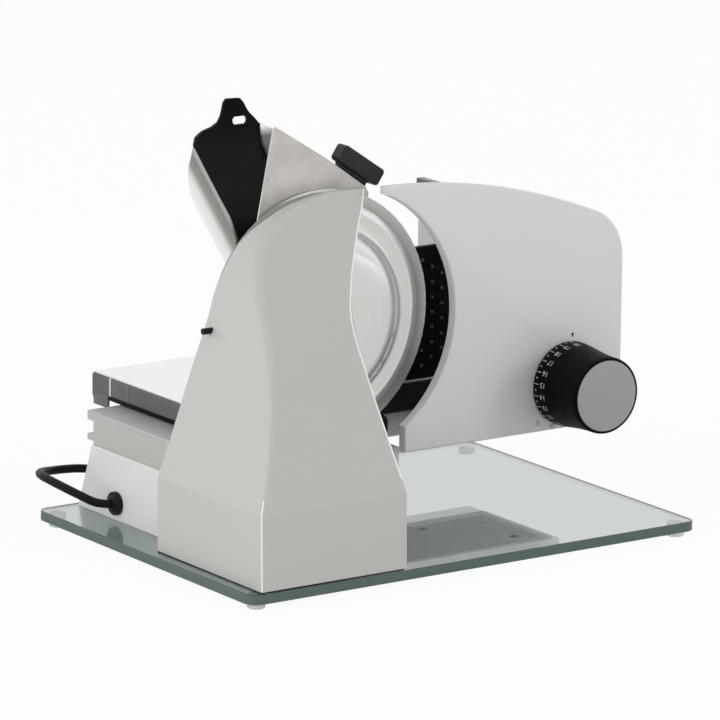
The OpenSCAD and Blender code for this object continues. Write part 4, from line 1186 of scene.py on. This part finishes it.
class SLICER_OT_stage(bpy.types.Operator):
    """Pale floor, white surroundings and soft lamps"""

    bl_idname = "slicer.stage"
    bl_label = "Stage"

    def execute(self, context):
        bpy.ops.mesh.primitive_plane_add(size=FLOOR_SIZE)
        floor = added("floor")
        floor.data.materials.append(self.floor_material())
        self.world(context.scene)
        for name, (place, size, power, mirrored) in LAMPS.items():
            bpy.ops.object.light_add(type="AREA", location=place)
            lamp = added(name)
            lamp.data.size = size
            lamp.data.energy = power
            lamp.visible_glossy = mirrored
            lamp.rotation_euler = (LAMP_AIM - lamp.location).to_track_quat("-Z", "Y").to_euler()
        context.scene.view_settings.view_transform = "Standard"
        return {"FINISHED"}

    def rays(self, wiring):
        """1 for rays from the camera, straight or through glass, and 1 for rays off metal."""
        path = wiring.node("ShaderNodeLightPath").outputs
        seen = wiring.math("MAXIMUM", path["Is Camera Ray"], path["Is Transmission Ray"])
        return seen, path["Is Glossy Ray"]

    def floor_material(self):
        """Pale matt floor that reads white and keeps the shadow, and is greyer in reflections."""
        material = bpy.data.materials.new("pale_floor")
        material.use_nodes = True
        wiring = Wiring(material.node_tree)
        nodes = wiring.tree.nodes
        nodes.remove(nodes["Principled BSDF"])
        seen, glossy = self.rays(wiring)
        mirrored = wiring.ranged(wiring.along(wiring.geometry("Position"), "Y"), *FLOOR_MIRRORED)
        tone = wiring.ranged(glossy, 0.0, 1.0, FLOOR_TONE, mirrored)
        matt = wiring.node("ShaderNodeBsdfDiffuse", Color=tone)
        glow = wiring.node("ShaderNodeEmission", Color=WHITE)
        share = wiring.math("MULTIPLY", seen, FLOOR_GLOW)
        both = wiring.node("ShaderNodeMixShader", share, matt.outputs[0], glow.outputs[0])
        wiring.put(nodes["Material Output"].inputs["Surface"], both.outputs[0])
        return material

    def world(self, scene):
        """White where it is seen, weaker as a light, and shaded from front to back in reflections."""
        scene.world = scene.world or bpy.data.worlds.new("surroundings")
        scene.world.use_nodes = True
        wiring = Wiring(scene.world.node_tree)
        back = wiring.tree.nodes["Background"]
        seen, glossy = self.rays(wiring)
        way = wiring.geometry("Incoming")
        light = wiring.ranged(wiring.along(way, "Z"), *SKY_LIGHT)
        mirrored = wiring.ranged(wiring.along(way, "Y"), *SKY_MIRRORED)
        wiring.put(back.inputs["Color"], WHITE)
        wiring.put(back.inputs["Strength"], wiring.mix(seen, wiring.mix(glossy, light, mirrored), 1.0))


PIECES = (SLICER_OT_camera, SLICER_OT_cord, SLICER_OT_solids, SLICER_OT_base, SLICER_OT_casing,
          SLICER_OT_blade, SLICER_OT_cover, SLICER_OT_stop, SLICER_OT_dial, SLICER_OT_rail,
          SLICER_OT_carriage, SLICER_OT_holder, SLICER_OT_stage)


class SLICER_PT_panel(bpy.types.Panel):
    """Pieces of the slicer and their settings"""

    bl_idname = "SLICER_PT_panel"
    bl_label = "Food slicer"
    bl_space_type = "VIEW_3D"
    bl_region_type = "UI"
    bl_category = "Slicer"

    def draw(self, context):
        for group in (context.scene.slicer_colours, context.scene.slicer_sizes):
            for name in group.__annotations__:
                self.layout.prop(group, name)
        for piece in PIECES:
            self.layout.operator(piece.bl_idname)


CLASSES = (SLICER_PG_colours, SLICER_PG_sizes, *PIECES, SLICER_PT_panel)


def register():
    for item in CLASSES:
        bpy.utils.register_class(item)
    bpy.types.Scene.slicer_colours = PointerProperty(type=SLICER_PG_colours)
    bpy.types.Scene.slicer_sizes = PointerProperty(type=SLICER_PG_sizes)


def unregister():
    del bpy.types.Scene.slicer_colours
    del bpy.types.Scene.slicer_sizes
    for item in reversed(CLASSES):
        bpy.utils.unregister_class(item)


def main():
    register()
    bpy.ops.slicer.camera()
    bpy.ops.slicer.cord()
    bpy.ops.slicer.solids()
    bpy.ops.slicer.base()
    bpy.ops.slicer.casing()
    bpy.ops.slicer.blade()
    bpy.ops.slicer.cover()
    bpy.ops.slicer.stop()
    bpy.ops.slicer.dial()
    bpy.ops.slicer.rail()
    bpy.ops.slicer.carriage()
    bpy.ops.slicer.holder()
    bpy.ops.slicer.stage()


if __name__ == "__main__":
    main()
